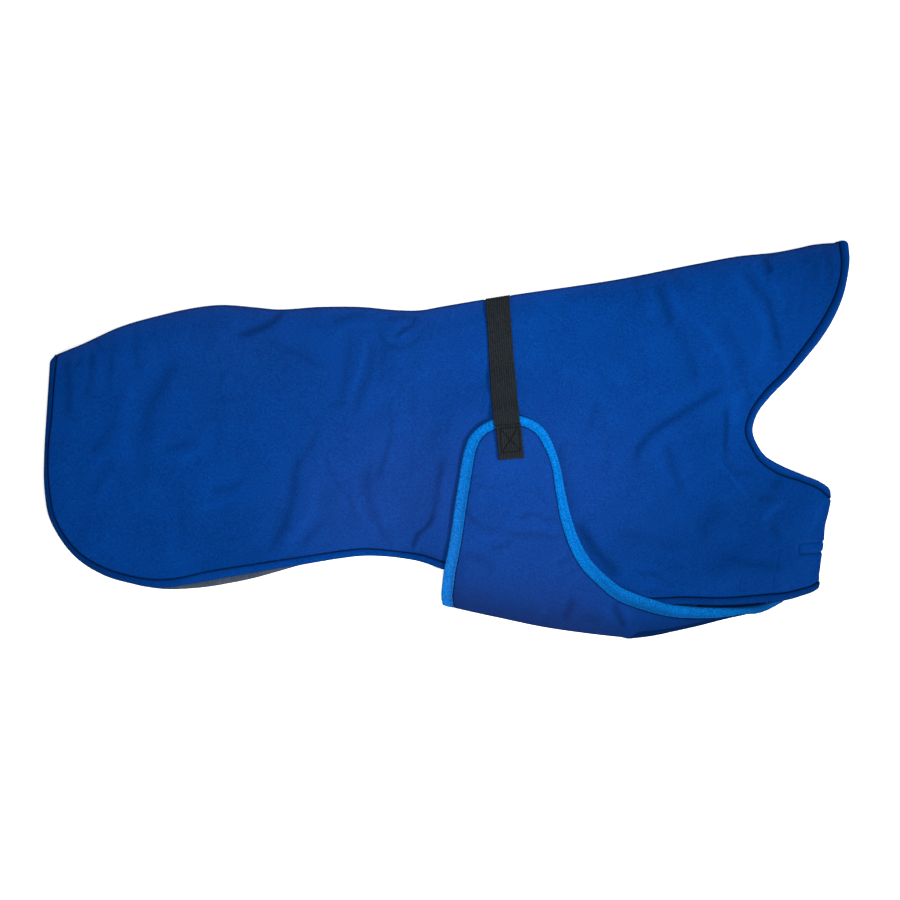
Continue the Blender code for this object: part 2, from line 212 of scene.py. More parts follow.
def linear(hexColour):
    # sRGB hex to the linear colour that a shader takes
    parts = [int(hexColour[i:i + 2], 16) / 255 for i in (1, 3, 5)]
    return (*[c / 12.92 if c <= 0.04045 else ((c + 0.055) / 1.055) ** 2.4 for c in parts], 1.0)


def addNode(tree, kind, settings=None, **links):
    # a shader node with its settings, by name or socket number, and links as socket=(node, output).
    # ramp gives the place and colour of each end of a colour ramp
    node = tree.nodes.new("ShaderNode" + kind)
    for name, value in (settings or {}).items():
        if name == "ramp":
            for end, (position, colour) in zip(node.color_ramp.elements, value):
                end.position, end.color = position, colour
        elif isinstance(name, str) and hasattr(node, name):
            setattr(node, name, value)
        else:
            node.inputs[name].default_value = value
    for socket, (source, output) in links.items():
        tree.links.new(source.outputs[output], node.inputs[socket.replace("_", " ")])
    return node


def perMetre(millimetres):
    return 1000.0 / millimetres      # a texture's scale for features of this size


def newFinish(name, settings):
    # a material, its shader set by socket, and the node that gives it places on the piece
    finish = bpy.data.materials.new(name)
    finish.use_nodes = True
    tree = finish.node_tree
    shader = tree.nodes["Principled BSDF"]
    for socket, value in settings.items():
        shader.inputs[socket].default_value = value
    place = addNode(tree, "TexCoord")
    return finish, tree, shader, place


def clothFinish(name, look):
    # cloth whose nap is a fine mottle over slow patches, with the same mottle raised. A value on its
    # points paints shade on it where it is above nothing and a highlight where below; a second one paints a
    # violet sheen
    finish, tree, shader, place = newFinish(name, {
        "Base Color": linear(look["colour"]), "Roughness": look["roughness"],
        "IOR": 1.5, "Specular IOR Level": look["shine"],
        "Sheen Weight": look["sheen"], "Sheen Roughness": 0.4, "Sheen Tint": linear(look["sheenTint"]),
    })
    nap = addNode(tree, "TexNoise", {"Scale": perMetre(look["nap"]), "Detail": 3.0, "Roughness": 0.65},
                  Vector=(place, "Object"))
    patch = addNode(tree, "TexNoise", {"Scale": perMetre(look["patch"]), "Detail": 2.0, "Roughness": 0.5},
                    Vector=(place, "Object"))
    napEnds = ((0.3, linear(look["napDark"])), (0.7, linear(look["napLight"])))
    napTone = addNode(tree, "ValToRGB", {"ramp": napEnds}, Fac=(nap, "Fac"))
    patchEnds = ((0.35, linear(look["patchDark"])), (0.65, linear(look["patchLight"])))
    patchTone = addNode(tree, "ValToRGB", {"ramp": patchEnds}, Fac=(patch, "Fac"))
    mixed = addNode(tree, "MixRGB", {"Fac": look["patchShare"]},
                    Color1=(napTone, "Color"), Color2=(patchTone, "Color"))
    # painted shade and painted highlight from a value on its points, then a painted violet sheen
    paintedShading = addNode(tree, "Attribute", {"attribute_name": "paintedShading"})
    paintedShadeMix = addNode(tree, "MixRGB", {"Color2": linear(look["turned"])},
                     Fac=(paintedShading, "Fac"), Color1=(mixed, "Color"))
    away = addNode(tree, "Math", {"operation": "MULTIPLY", 1: -1.0}, Value=(paintedShading, "Fac"))
    paintedLightAndShade = addNode(tree, "MixRGB", {"Color2": linear(look["paintedLightAndShade"])},
                      Fac=(away, "Value"), Color1=(paintedShadeMix, "Color"))
    paintedSheen = addNode(tree, "Attribute", {"attribute_name": "paintedSheen"})
    cast = addNode(tree, "MixRGB", {"blend_type": "ADD", "Color2": linear(look["cast"])},
                   Fac=(paintedSheen, "Fac"), Color1=(paintedLightAndShade, "Color"))
    tree.links.new(cast.outputs["Color"], shader.inputs["Base Color"])
    raised = addNode(tree, "Bump", {"Strength": look["napStrength"], "Distance": look["napHeight"] * 0.001},
                     Height=(nap, "Fac"))
    tree.links.new(raised.outputs["Normal"], shader.inputs["Normal"])
    return finish


softshellLook = {                  # polyester softshell with a short brushed nap: matte, faintly mottled
    "colour": "#012661", "napDark": "#011652", "napLight": "#013670",
    "patchDark": "#01235b", "patchLight": "#012967", "patchShare": 0.35,
    "turned": "#00102c",           # painted shade, where the cloth turns from the light and in its grooves and creases
    "cast": "#090200",             # painted sheen: a violet cast of the light
    "paintedLightAndShade": "#023880",          # painted highlight, paler where the cloth turns to the window
    "roughness": 0.6, "shine": 0.006, "sheen": 0.0, "sheenTint": "#4f7fd0",
    "nap": 1.5,                    # real nap is under 1 mm; drawn coarser so that it shows
    "patch": 26.0, "napHeight": 0.3, "napStrength": 0.5,
}
fleeceBackLook = {                 # the cloth's brushed inner side: grey, fluffy, no shine
    "colour": "#2c333f", "napDark": "#20262f", "napLight": "#3a4250",
    # with its patches: the colour of its painted shade, then of its painted highlight and painted sheen
    "patchDark": "#272d38", "patchLight": "#333b48", "patchShare": 0.4, "turned": "#1c212a",
    "paintedLightAndShade": "#3a4250", "cast": "#000000",
    "roughness": 0.95, "shine": 0.05, "sheen": 0.05, "sheenTint": "#c8ccd4",
    "nap": 2.2, "patch": 14.0, "napHeight": 0.6, "napStrength": 0.7,
}
bindingLook = {                    # knitted fleece tape: soft pile that stands up and scatters light
    "colour": "#014080", "napDark": "#01244f", "napLight": "#0272c6",
    # with its patches: the colour of its painted shade, then of its painted highlight and painted sheen
    "patchDark": "#014080", "patchLight": "#014b90", "patchShare": 0.15, "turned": "#012349",
    "paintedLightAndShade": "#0266b2", "cast": "#090000",
    "roughness": 0.95, "shine": 0.02, "sheen": 0.03, "sheenTint": "#8cc4ff",
    "nap": 1.3,                    # pile tufts, drawn about twice as coarse as real
    "patch": 9.0, "napHeight": 0.8, "napStrength": 0.8,
}
softshell = clothFinish("softshellNap", softshellLook)
fleeceBack = clothFinish("softshellFleeceBack", fleeceBackLook)
fleeceBinding = clothFinish("fleeceBinding", bindingLook)

webbingLook = {                    # woven polyester elastic: dull black, ribbed along, with its weft across
    "colour": "#0e1317", "warpDark": "#0a0d10", "warpLight": "#171d22",
    "groove": "#040608",           # painted shade between the ribs and where it is sewn down
    "roughness": 0.7, "shine": 0.06,
    "yarn": 1.6,                   # yarns are near 0.3 mm; drawn coarser so that they show
    "weft": 8.168,                 # picks are near 0.6 mm; drawn as slow ripples so that they show
    "weftHeight": 0.12, "weftStrength": 0.6,
}


def webbingFinish():
    # a value on its points paints shade in the grooves between its ribs and along its sewn box
    finish, tree, shader, place = newFinish("elasticWebbing", {
        "Base Color": linear(webbingLook["colour"]), "Roughness": webbingLook["roughness"],
        "IOR": 1.5, "Specular IOR Level": webbingLook["shine"],
    })
    yarn = addNode(tree, "TexNoise", {
        "Scale": perMetre(webbingLook["yarn"]), "Detail": 3.0, "Roughness": 0.6,
    }, Vector=(place, "Object"))
    ends = ((0.35, linear(webbingLook["warpDark"])), (0.7, linear(webbingLook["warpLight"])))
    tone = addNode(tree, "ValToRGB", {"ramp": ends}, Fac=(yarn, "Fac"))
    paintedShading = addNode(tree, "Attribute", {"attribute_name": "paintedShading"})
    ribbed = addNode(tree, "MixRGB", {"Color2": linear(webbingLook["groove"])},
                     Fac=(paintedShading, "Fac"), Color1=(tone, "Color"))
    tree.links.new(ribbed.outputs["Color"], shader.inputs["Base Color"])
    weft = addNode(tree, "TexWave", {           # a wave at scale 1 is pi / 10 of a metre long
        "wave_type": "BANDS", "bands_direction": "Y", "Scale": perMetre(webbingLook["weft"]) * np.pi / 10,
        "Distortion": 1.5, "Detail": 1.0, "Detail Scale": 2.0,
    }, Vector=(place, "Object"))
    raised = addNode(tree, "Bump", {"Strength": webbingLook["weftStrength"],
                                    "Distance": webbingLook["weftHeight"] * 0.001}, Height=(weft, "Fac"))
    tree.links.new(raised.outputs["Normal"], shader.inputs["Normal"])
    return finish


elasticWebbing = webbingFinish()

threadLook = {                     # spun polyester thread: a little smoother than the cloth it holds
    "blue": "#01296a", "black": "#161a20", "paleBlue": "#02549c",
    "roughness": 0.7, "shine": 0.05,
    "twist": 0.8,                  # the real twist is near 0.3 mm; drawn coarser so that it shows
    "turnedIn": 0.7,               # how light it is where a strand turns in
}


def threadFinish(name, colour):
    finish, tree, shader, place = newFinish(name, {
        "Roughness": threadLook["roughness"], "IOR": 1.5, "Specular IOR Level": threadLook["shine"],
    })
    twist = addNode(tree, "TexNoise", {"Scale": perMetre(threadLook["twist"]), "Detail": 2.0},
                    Vector=(place, "Object"))
    outside = linear(colour)
    inside = (*[part * threadLook["turnedIn"] for part in outside[:3]], 1.0)
    tone = addNode(tree, "ValToRGB", {"ramp": ((0.0, inside), (1.0, outside))}, Fac=(twist, "Fac"))
    tree.links.new(tone.outputs["Color"], shader.inputs["Base Color"])
    return finish


blueThread = threadFinish("threadBlue", threadLook["blue"])
blackThread = threadFinish("threadBlack", threadLook["black"])
paleThread = threadFinish("threadPaleBlue", threadLook["paleBlue"])
print("finishes made")

# the cut of the coat: places along it (towards the neck) and up (towards the back)
backSeam = [
    (405, 204.8), (394.5, 204.2), (383, 203), (367.5, 199.6), (347, 195.5), (305, 191), (264, 183.5),
    (180, 167), (97, 154.5), (35, 145), (-7, 138), (-28, 134.5), (-48, 134.5), (-90, 138), (-132, 138),
    (-178, 135.5), (-204, 138), (-236, 140), (-277, 134.5), (-298, 129.5), (-340, 117.5), (-381, 99),
    (-405, 89),
]
# along, up, how far the under side shows below, the band's width that shows, and how much higher
# the panel's edge lies than where it is flattest
tailAndHem = [
    (-412, 86.5, 0, 5.8, 1.4), (-413.5, 62, 0, 5.3, 1.8), (-416, 24, 0, 5.0, 2.0),
    (-418, -10, 0, 3.7, 2.2), (-418, -52, 0, 4.7, 1.8), (-413.5, -79.5, 0, 5.0, 1.5),
    (-403, -100.5, 0, 4.7, 1.0), (-386.5, -121, 0, 5.2, 0.7), (-352, -142, 0, 6.3, 0.3),
    (-329, -148.5, 0, 6.4, 0.1), (-310, -152.5, 0.5, 7.2, 0), (-291.5, -153, 2, 7.4, 0),
    (-273, -150, 4.5, 7.0, 0), (-250, -146, 6.5, 8.2, 0), (-228, -142, 6.8, 8.0, 0),
    (-205, -138, 6.2, 7.4, 0), (-180, -133.5, 4, 7.0, 0), (-153.5, -129.5, 0.5, 6.9, 0),
    (-111, -122.5, 0, 6.4, 0), (-90, -120, 0, 6.3, 0), (-48.5, -122, 0, 5.4, 0),
    (-27.5, -125.5, 0, 6.0, 0), (-3.5, -133.5, 0, 6.3, 0), (45, -144, 0, 7.0, 0), (97, -152.5, 0, 7.0, 0),
    (130, -158.2, 0, 7.0, 0), (159.5, -163.4, 0, 7.0, 0), (185, -168.3, 0, 6.6, 0),
    (205, -171, 0, 6.4, 0), (222, -170.9, 0, 6.4, 0), (236.5, -170.2, 0, 6.4, 0),
    (250, -169.8, 0, 6.4, 0), (263.5, -170.3, 0, 6.5, 0), (281.5, -170.5, 0, 6.4, 0),
    (304, -169.7, 0, 6.7, 0), (332, -167.8, 0, 7.2, 0), (355, -165.3, 0, 6.8, 0),
    (370.5, -161.2, 0, 6.0, 0.2), (381, -157.6, 0, 5.4, 0.3), (389, -152.6, 0, 4.6, 0.3),
]
chestSeam = [
    (388.8, -143), (392.5, -117), (394.5, -103), (395, -93.5), (399.5, -73.5), (401.3, -64),
]
# up, and how far the stitching pulls the front edge in
chestNotches = [
    (-60.5, 0.9), (-106.5, 1.3), (-117.0, 1.3), (-148.2, 1.0),
]
# along, up, how far the under side shows beyond, the band's width, the height of the panel's edge
neckEdge = [
    (401.5, -55, 0, 6.4, 0.2), (393, -48, 0, 6.0, 0.2), (372, -38.8, 0, 5.8, 0.3),
    (346, -27.5, 0, 7.6, 0.4), (330, -17, 0, 6.5, 0.6), (323, -7, 0, 6.0, 0.8), (317.5, 9, 0, 6.9, 1.0),
    (321, 24.5, 0, 6.6, 1.0), (335.5, 45, 0, 7.5, 1.0), (356, 66, 0, 7.2, 1.0), (374, 87, 0.5, 8.3, 1.0),
    (389.5, 107.5, 1.2, 8.5, 1.0), (402, 128.5, 1.4, 8.0, 1.0), (411.5, 149, 0.8, 7.7, 1.0),
    (416.5, 170, 0.2, 6.8, 0.8), (418.5, 185, 0, 7.6, 0.6), (417, 208.6, 0, 8.4, 0.4),
]
# along, up, the binding's width: from its front end, round the wing, to the fold
flapEdge = [
    (353.5, -165.2, 1.6), (349, -167.5, 3), (344, -168.5, 4.6), (333, -170.5, 8), (326, -172, 9),
    (304, -174.5, 8.5), (290, -175, 10), (263.5, -174.5, 12), (236.5, -171.6, 13), (216, -166.4, 13.6),
    (199, -160.9, 13.6), (179.5, -151.9, 13.8), (164, -139.6, 13), (151.5, -127, 13), (143, -114.6, 12.6),
    (136.8, -102.5, 12), (128.3, -77.5, 11.2), (122.5, -52.5, 9.8), (117, -25.5, 8.6), (113.2, -13, 8.8),
    (108, -0.5, 9.6), (103.2, 8, 9.6), (96, 15.5, 9.4), (85.5, 21.5, 9.5), (75.5, 24.5, 10), (63, 25, 10),
    (50, 21.5, 10), (35, 14, 10), (24.5, 3.5, 11), (19, -9, 11.5), (16, -21.5, 12), (13, -40, 12),
    (9, -65, 12), (5.5, -90, 12), (1.5, -115, 12), (-2.5, -134.5, 12), (-4.5, -150, 12),
    (-5.5, -164, 11.5), (-4, -173.2, 11),
]
foldUpper = [
    (8, -175.9), (36, -182.2), (55.5, -186.4), (99, -195.5), (159.5, -204.1), (175, -205.8),
    (183.5, -206.8), (188, -208), (199, -202.6), (217, -200), (239, -196.6), (262, -191.6), (282, -187),
]
foldUnder = [
    (8, -175.9), (36, -182.2), (55.5, -186.4), (99, -195.5), (159.5, -204.1), (175, -205.8),
    (183.5, -206.8), (190, -208.4), (197, -207.8), (216.5, -205.3), (239, -200.5), (263.5, -195),
    (290, -188.2), (318, -181.8), (331, -178),
]
# the under half runs on beneath the hem in front of its wing
underFront = [
    (336, -168), (318, -164), (304, -162), (290, -161), (276, -160), (263.5, -160),
]
frontEnd = [
    (284, -171.5), (304, -170.5), (322, -169), (338, -167), (339, -150), (340, -133), (341, -116),
    (322, -122), (304, -138), (292, -154),
]
beltLine = [
    (53.2, 142), (55.7, 103.5), (58, 68), (59.8, 43), (62.4, 15.5), (65.8, -20.5),
]

# each row: places along a crease, then how much it shades the cloth, by its slope and by painted shade
# (more than nothing: it falls away from the window and is painted darker, less: it turns to the window
# and is painted paler), and half its breadth
sideCreases = [
    # over the tail
    ((-396, 90), (-393, 62), (-392.5, 40), (-394, 20), 5.5, 4.5),
    ((-383, 91), (-386, 85), (-389, 79), -3.5, 1.6), ((-380, 86), (-382, 81), (-385, 75), 3.5, 2),
    ((-370, 95), (-369, 70), (-374, 42), 4.5, 3), ((-374, 94), (-375, 82), (-376, 68), -2.5, 2),
    ((-367, 104), (-362, 98), (-357, 92), 5, 2.5),
    ((-346, 105), (-347.5, 90), (-349.5, 70), (-353, 54), 4, 3.5),
    ((-362, 92), (-361, 80), (-361, 66), -2.2, 3),
    ((-322.5, 122), (-323, 100), (-322, 80), (-318, 66), 4, 5),
    ((-307, 121), (-304, 114), (-301, 108), 3, 4), ((-306, 104), (-305, 88), (-304, 68), -2.5, 4),
    ((-277, 87), (-293, 61), (-306, 38), (-315, 8), 4.5, 8),
    ((-312, 24), (-312, -10), (-310, -46), 2.8, 9), ((-325, 62), (-333, 15), (-333, -30), -3.5, 8),
    ((-345, -34), (-354, -48), (-364, -70), -1.8, 7), ((-340, 24), (-357, 0), (-373, -16), 3.8, 6),
    ((-345, -20), (-360, -45), (-370, -60), 3.8, 7), ((-370, -66), (-374, -84), (-376, -98), 1.6, 8),
    ((-298, -14), (-277, -7), (-254, 0), 4.2, 4.5), ((-280, -28), (-270, -22), (-259, -15), -3, 6),
    ((-241, 33), (-237, 5), (-238, -14), 2.6, 5), ((-238, 48), (-235, 60), (-231, 72), 3, 3),
    ((-226, 72), (-225, 65), (-223, 55), -1.5, 5), ((-245, 38), (-225, 41), (-203, 43), 2.2, 2.5),
    ((-246, -53), (-225, -50), (-205, -41), 4.2, 4), ((-302, -62), (-282, -64), (-260, -69), 1.8, 5),
    ((-258, -73), (-240, -68), (-218, -60), -3.2, 3.5), ((-275, -74), (-274, -88), (-271, -102), 3.2, 5),
    ((-243, -99), (-225, -103), (-204, -109), 2.2, 2.5),
    ((-258, -117), (-248, -120), (-236, -121), -1.6, 5), ((-397, -5), (-394, -32), (-391, -56), -1.8, 6),
    # at the waist
    ((-169, 139), (-177, 125), (-194, 115), (-222, 106), 9, 4.8),
    ((-196, 106), (-160, 91), (-138, 80), (-118, 70), 5, 5.5),
    ((-122, 120), (-103, 127), (-80, 132), 5, 4.5), ((-110, 114), (-90, 119), (-76, 115), -3.5, 2),
    ((-99, 112), (-103, 82), (-107, 52), (-112, 34), 4, 6), ((-125, 38), (-114, 35), (-103, 39), 4, 4),
    ((-84, 109), (-87, 85), (-93, 64), (-99, 44), -5.5, 2.6),
    ((-77, 109), (-79, 72), (-92, 37), (-96, 17), 4, 4.5), ((-64, 100), (-67, 80), (-66, 58), 2.6, 5),
    ((-72, 113), (-60, 98), (-48, 94), 7.5, 2.6), ((-52, 94), (-40, 97), (-22, 110), 4.8, 2.2),
    ((-31, 131), (-34, 121), (-46, 112), (-54, 105), 8, 2.4),
    ((-49, 103), (-44, 107), (-38, 112), -4, 1.8), ((-66, 124), (-46, 128), (-29, 125), 4.5, 3.5),
    ((-54, 118), (-46, 121), (-38, 121), -3, 2), ((-5, 130), (0, 127), (5, 122), 4, 2),
    ((-46, 95), (-47, 78), (-46, 60), -2.6, 6), ((-36, 58), (-33, 45), (-34, 22), 3.2, 3.5),
    ((-34, 24), (-35, -10), (-38, -54), 2, 1.8), ((-27, 60), (-22, 57), (-16, 54), 2, 4),
    ((-60, 46), (-57, 22), (-58, 3), 3.2, 2.5), ((-57, 9), (-62, -12), (-67, -28), (-74, -45), 5.5, 3),
    ((-80, -18), (-82, -52), (-77, -73), (-66, -97), (-57, -117), 5, 5),
    ((-130, -8), (-116, -42), (-100, -63), (-93, -80), 4.4, 2.6),
    ((-94, -62), (-88, -74), (-82, -88), -2.8, 3.5),
    ((-144, -4), (-156, -30), (-160, -60), (-168, -88), (-187, -122), 6.5, 6),
    ((-134, 16), (-137, 0), (-147, -12), 3, 4), ((-143, 17), (-135, 16), (-127, 12), 3.4, 2),
    ((-136, -36), (-141, -76), (-156, -98), (-170, -116), -4.4, 6),
    ((-121, -82), (-140, -98), (-154, -117), 4, 5),
    ((-3, -16), (-8, -45), (-12, -70), (-18, -88), 6.5, 4),
    ((-11, -74), (-20, -90), (-29, -98), (-37, -119), 12, 2.4),
    ((-1, -34), (-3, -45), (-6, -58), -3.5, 1.6), ((4, 28), (2, 15), (0, 2), 2.6, 3),
    ((-58, -106), (-57.5, -112), (-57, -117), 4, 1.3), ((-49, -108), (-44, -113), (-39, -117), 3.6, 1.3),
    ((-32, -116), (-20, -118), (-6, -125), 7, 3),
    # over the shoulder
    ((118, 147), (146, 151), (159, 161), 3.2, 5), ((196, 174), (199, 156), (202, 138), 3.4, 5),
    ((211, 160), (213, 142), (216, 124), -2.8, 4), ((219, 163), (229, 136), (237, 115), 8, 5),
    ((233, 121), (248, 98), (256, 74), (256, 50), 4.6, 7), ((230, 168), (237, 148), (251, 129), -4, 4),
    ((244, 134), (268, 116), (284, 92), (296, 70), (306, 52), -6, 4.5),
    ((294, 73), (300, 60), (306, 47), 5.5, 1.3), ((234, 173), (240, 168), (247, 161), 5.5, 2.5),
    ((276, 160), (279, 148), (281, 136), 2.6, 5),
    ((283, 130), (299, 100), (307, 82), (305, 64), 4.4, 7.5), ((305, 67), (312, 54), (320, 40), 5.5, 3.5),
    ((299, 178), (304, 163), (317, 145), (327, 128), (332, 108), (329, 88), (325, 64), -5.4, 6),
    ((305, 182), (317, 164), (332, 147), (340, 126), (345, 104), (350, 78), 8, 4),
    ((317, 187), (324, 175), (333, 165), -6.5, 3), ((338, 169), (345, 153), (354, 138), -4.5, 2.5),
    ((330, 191), (336, 180), (337, 171), 12, 3.5), ((367, 178), (372, 168), (370, 147), (366, 125), 3, 2),
    ((357, 192), (367, 177), (371, 161), -3.4, 3), ((367, 150), (365, 137), (362, 122), -3.2, 3),
    ((370, 188), (381, 185), (387, 166), 4, 5), ((391, 198), (399, 184), (401, 166), 4.8, 4),
    ((388, 182), (390, 172), (391, 160), -3.2, 3.5), ((155, 78), (167, 59), (183, 44), 3.8, 5),
    ((158, 43), (151, 20), (146, 2), 3.8, 4), ((141, 120), (142, 102), (141, 82), -1.8, 7),
    ((180, 132), (184, 114), (187, 94), 1.8, 8),
    # from the neck down to the chest
    ((295, 58), (268, 42), (240, 24), (216, 8), (200, -10), (196, -36), 7.4, 5),
    ((229, 0), (232, -19), (240, -42), (247, -58), 6, 5), ((247, -12), (251, -25), (254, -38), -3, 6),
    ((290, 38), (291, 7), (290, -8), (293, -22), 10, 2.7), ((300, 54), (301, 34), (300, 12), -5.5, 7),
    ((284, -17), (303, -34), (322, -38), 4.4, 4),
    ((277, -18), (292, -34), (303, -47), (318, -70), -7, 2.2),
    ((302, -48), (308, -57), (316, -69), 4.2, 1.3),
    ((290, -60), (279, -76), (269, -89), (272, -110), 3.4, 12),
    ((323, -64), (331, -62), (341, -60), 3.6, 5), ((338, -51), (344, -46), (352, -41), 4.6, 5),
    ((327, -86), (339, -74), (355, -64), -5.4, 4), ((337, -86), (343, -97), (348, -107), 4.8, 4.5),
    ((380, -96), (388, -75), (395, -63), -4.2, 2.5),
    ((286, -118), (310, -128), (337, -131), (358, -137), 3.8, 4.5),
    ((190, -138), (217, -141), (230, -149), (241, -157), 6, 1.8),
    ((203, -155), (222, -160.5), (250, -161), 5.5, 2.8),
    ((134, -82), (150, -108), (163, -124), (184, -146), 12, 7),
    ((163, -97), (200, -100), (240, -113), 2.8, 6), ((116, -2), (122, -40), (133, -82), 4, 6),
    ((373, -134), (375, -141), (376, -148), -3, 4), ((268, 26), (268, 16), (266, 6), -1.6, 8),
    ((168, 5), (168, -15), (168, -36), 2, 4),
]
flapCreases = [
    ((25, -36), (31, -38), (38, -39), 5, 1.8), ((26, -46.5), (37, -48), (50, -52), 4.4, 2.5),
    ((23, -52), (27, -55), (32, -58), 5, 1.8), ((19, -73), (26, -82), (35, -88), 9, 2.8),
    ((30, -86), (40, -92), (56, -95), 4.6, 4), ((72, -83), (87, -78), (104, -82), (119, -86), 5, 4),
    ((60, -93), (72, -98.5), (87, -99), (104, -100), (121, -104), 5, 3.5),
    ((44, -112), (59, -110.5), (68, -105), 5, 2.8),
    ((14, -118), (28, -122), (42, -129), (52, -139), 6.5, 5),
    ((26, -101), (38, -103), (52, -105), -2.6, 6), ((114, -132), (122, -125.5), (133, -124), 5.5, 3.5),
    ((127, -130), (130, -135), (131, -141), 3, 5), ((131, -161), (129, -174), (122, -190), 5.5, 5),
    ((172, -168), (179, -182), (187, -197), 6.8, 4), ((138, -182), (150, -185), (164, -190), 3.6, 5),
    ((100, -166), (101, -174), (102, -184), -2.2, 6), ((164, -172), (168, -181), (172, -190), -2.4, 4),
    ((48, -26), (61, -29), (74, -27), -3, 7), ((90, -28), (97, -31), (106, -32), 2, 4),
]
# painted shade where the light falls off over parts of the coat: place, reach, how much darker
# (less than nothing: a painted highlight)
paintedShadingPatches = [
    (335, -110, 95, 0.26), (215, -120, 85, 0.2), (-400, 65, 60, 0.16), (-300, 0, 190, 0.1),
    (-215, 140, 90, 0.1), (-110, 60, 110, 0.06), (-210, -140, 60, 0.1), (-10, -105, 45, 0.15),
    (240, 190, 110, 0.1), (430, 150, 80, 0.13), (260, 15, 35, 0.1), (352, -45, 45, 0.11),
    (388, 185, 40, 0.13), (345, -150, 40, 0.1), (-215, -150, 50, 0.09), (-60, 100, 40, 0.08),
    (300, 100, 50, -0.08), (10, -25, 28, 0.1),
]
# the same painted shade and highlight over the flap
flapPaintedShadingPatches = [(60, -100, 70, 0.06), (140, -140, 60, 0.06), (75, -20, 50, -0.1)]
# and a painted violet sheen of the light over parts of the coat: place, reach, how strong
paintedSheenPatches = [
    (-30, -60, 105, 0.9), (-115, -80, 60, 0.35), (-210, 150, 110, 0.35), (-10, 150, 80, 0.3),
    (130, -40, 90, 0.45),
]

creaseShape = {
    "steep": 0.068, "nap": 0.026,      # its height, and how much shade it paints, for each unit of shading
    "broad": 1.2, "least": 2.4,        # drawn this much broader than in its table, and no narrower
    "power": 0.75,                     # a broad crease is this much higher than a narrow one
    "letGo": 3.5, "paintedCreaseShadeWide": 0.8,      # in half breadths: where its slope and its painted shade end
    "reach": 6.0,
    "runOut": 0.2,                     # the share of its length that runs out at each end
    "lightRun": (-0.80, 0.60), "lightEdge": 3.0,      # the way the window light runs over the floor
}


class Creases:
    # soft steps, each steepest on its line and let go to both sides, and the shade painted along them

    def __init__(self, table, strength=1.0):
        self.lines, self.places = [], None
        for *places, shading, half in table:
            length = np.linalg.norm(np.diff(np.array(places, float), axis=0), axis=1).sum()
            line = curveThrough(places, max(1.5, length / 16))
            half = max(half * creaseShape["broad"], creaseShape["least"])
            self.lines.append((line, shading * strength, half))

    def work(self, places):
        if self.places is places:                  # asked first for the height and then for the painted shade
            return
        self.places, self.high, self.nap = places, np.zeros(len(places)), np.zeros(len(places))
        for line, shading, half in self.lines:
            reach = half * creaseShape["reach"]
            low, high = line.min(axis=0) - reach, line.max(axis=0) + reach
            near = np.flatnonzero(((places > low) & (places < high)).all(axis=1))
            gap, side, segment, share = nearestOn(line, places[near]).T
            ahead = np.gradient(line, axis=0)[segment.astype(int)]
            across = np.stack([-ahead[:, 1], ahead[:, 0]], axis=1) / np.linalg.norm(ahead, axis=1)[:, None]
            facing = np.clip(creaseShape["lightEdge"] * across @ np.array(creaseShape["lightRun"]), -1, 1)
            x = side * gap / half
            fade = ease(np.minimum(share, 1 - share) / creaseShape["runOut"])
            drop = creaseShape["steep"] * shading * half ** creaseShape["power"]
            self.high[near] -= (drop * facing * fade * x / (1 + x * x)
                                * np.exp(-(x / creaseShape["letGo"]) ** 2))
            # painted shade along the crease; where its shading is less than nothing, a painted highlight
            self.nap[near] += creaseShape["nap"] * shading * fade * np.exp(-(x / creaseShape["paintedCreaseShadeWide"]) ** 2)

    def height(self, places):
        self.work(places)
        return self.high

    def shade(self, places):
        self.work(places)
        return self.nap


def spread(table, places):
    # how much soft round patches give together at each place
    return sum(much * np.exp(-((places - np.array([along, up])) ** 2).sum(axis=1) / reach ** 2)
               for along, up, reach, much in table)


slack = {"broad": 40.0, "broadHigh": 1.0, "fine": 13.0, "fineHigh": 0.22}    # the cloth between its creases


def slackCloth(seed):
    def swell(size, high, x, y, level):
        return high * noise.noise(Vector((x / size, y / size, level)))

    def height(places):
        return np.array([swell(slack["broad"], slack["broadHigh"], x, y, seed)
                         + swell(slack["fine"], slack["fineHigh"], x, y, seed + 5) for x, y in places])

    return height


def hexPoints(outline, step, margin):
    # even points inside the outline, in rows that are offset by half a step
    low, high = outline.min(axis=0), outline.max(axis=0)
    rows = []
    for row, up in enumerate(np.arange(low[1], high[1], step * 0.866)):
        along = np.arange(low[0] + step * 0.5 * (row % 2), high[0], step)
        rows.append(np.stack([along, np.full(len(along), up)], axis=1))
    places = np.vstack(rows)
    places = places[insideOf(outline, places)]
    closed = np.vstack([outline, outline[:1]])
    return places[distanceTo(closed)(places) > margin]


# a line of stitches through the cloth: how deep it presses and how wide, how far the cloth round it
# sinks, how much shade is painted along it, then the thread
stitching = {
    "press": 0.7, "pressWide": 0.7, "sink": 0.7, "sinkWide": 2.6, "dark": 0.4, "darkWide": 0.8,
    "step": 1.3, "rows": (-3.4, -2.2, -1.3, -0.6, 0.0, 0.6, 1.3, 2.2, 3.4),     # points beside the line
    "length": 2.6, "gap": 0.8, "thread": 0.26, "sides": 6,
    "swell": (0.35, 0.8, 1.0, 1.0, 1.0, 0.8, 0.35),      # a stitch's radius along it, and how far it
    "rise": (-0.8, 0.2, 0.8, 0.9, 0.8, 0.2, -0.8),       # rises, in radii: it dips in at both ends
    "hemRun": (-118, -24),                               # where the stitches at the hem show
}


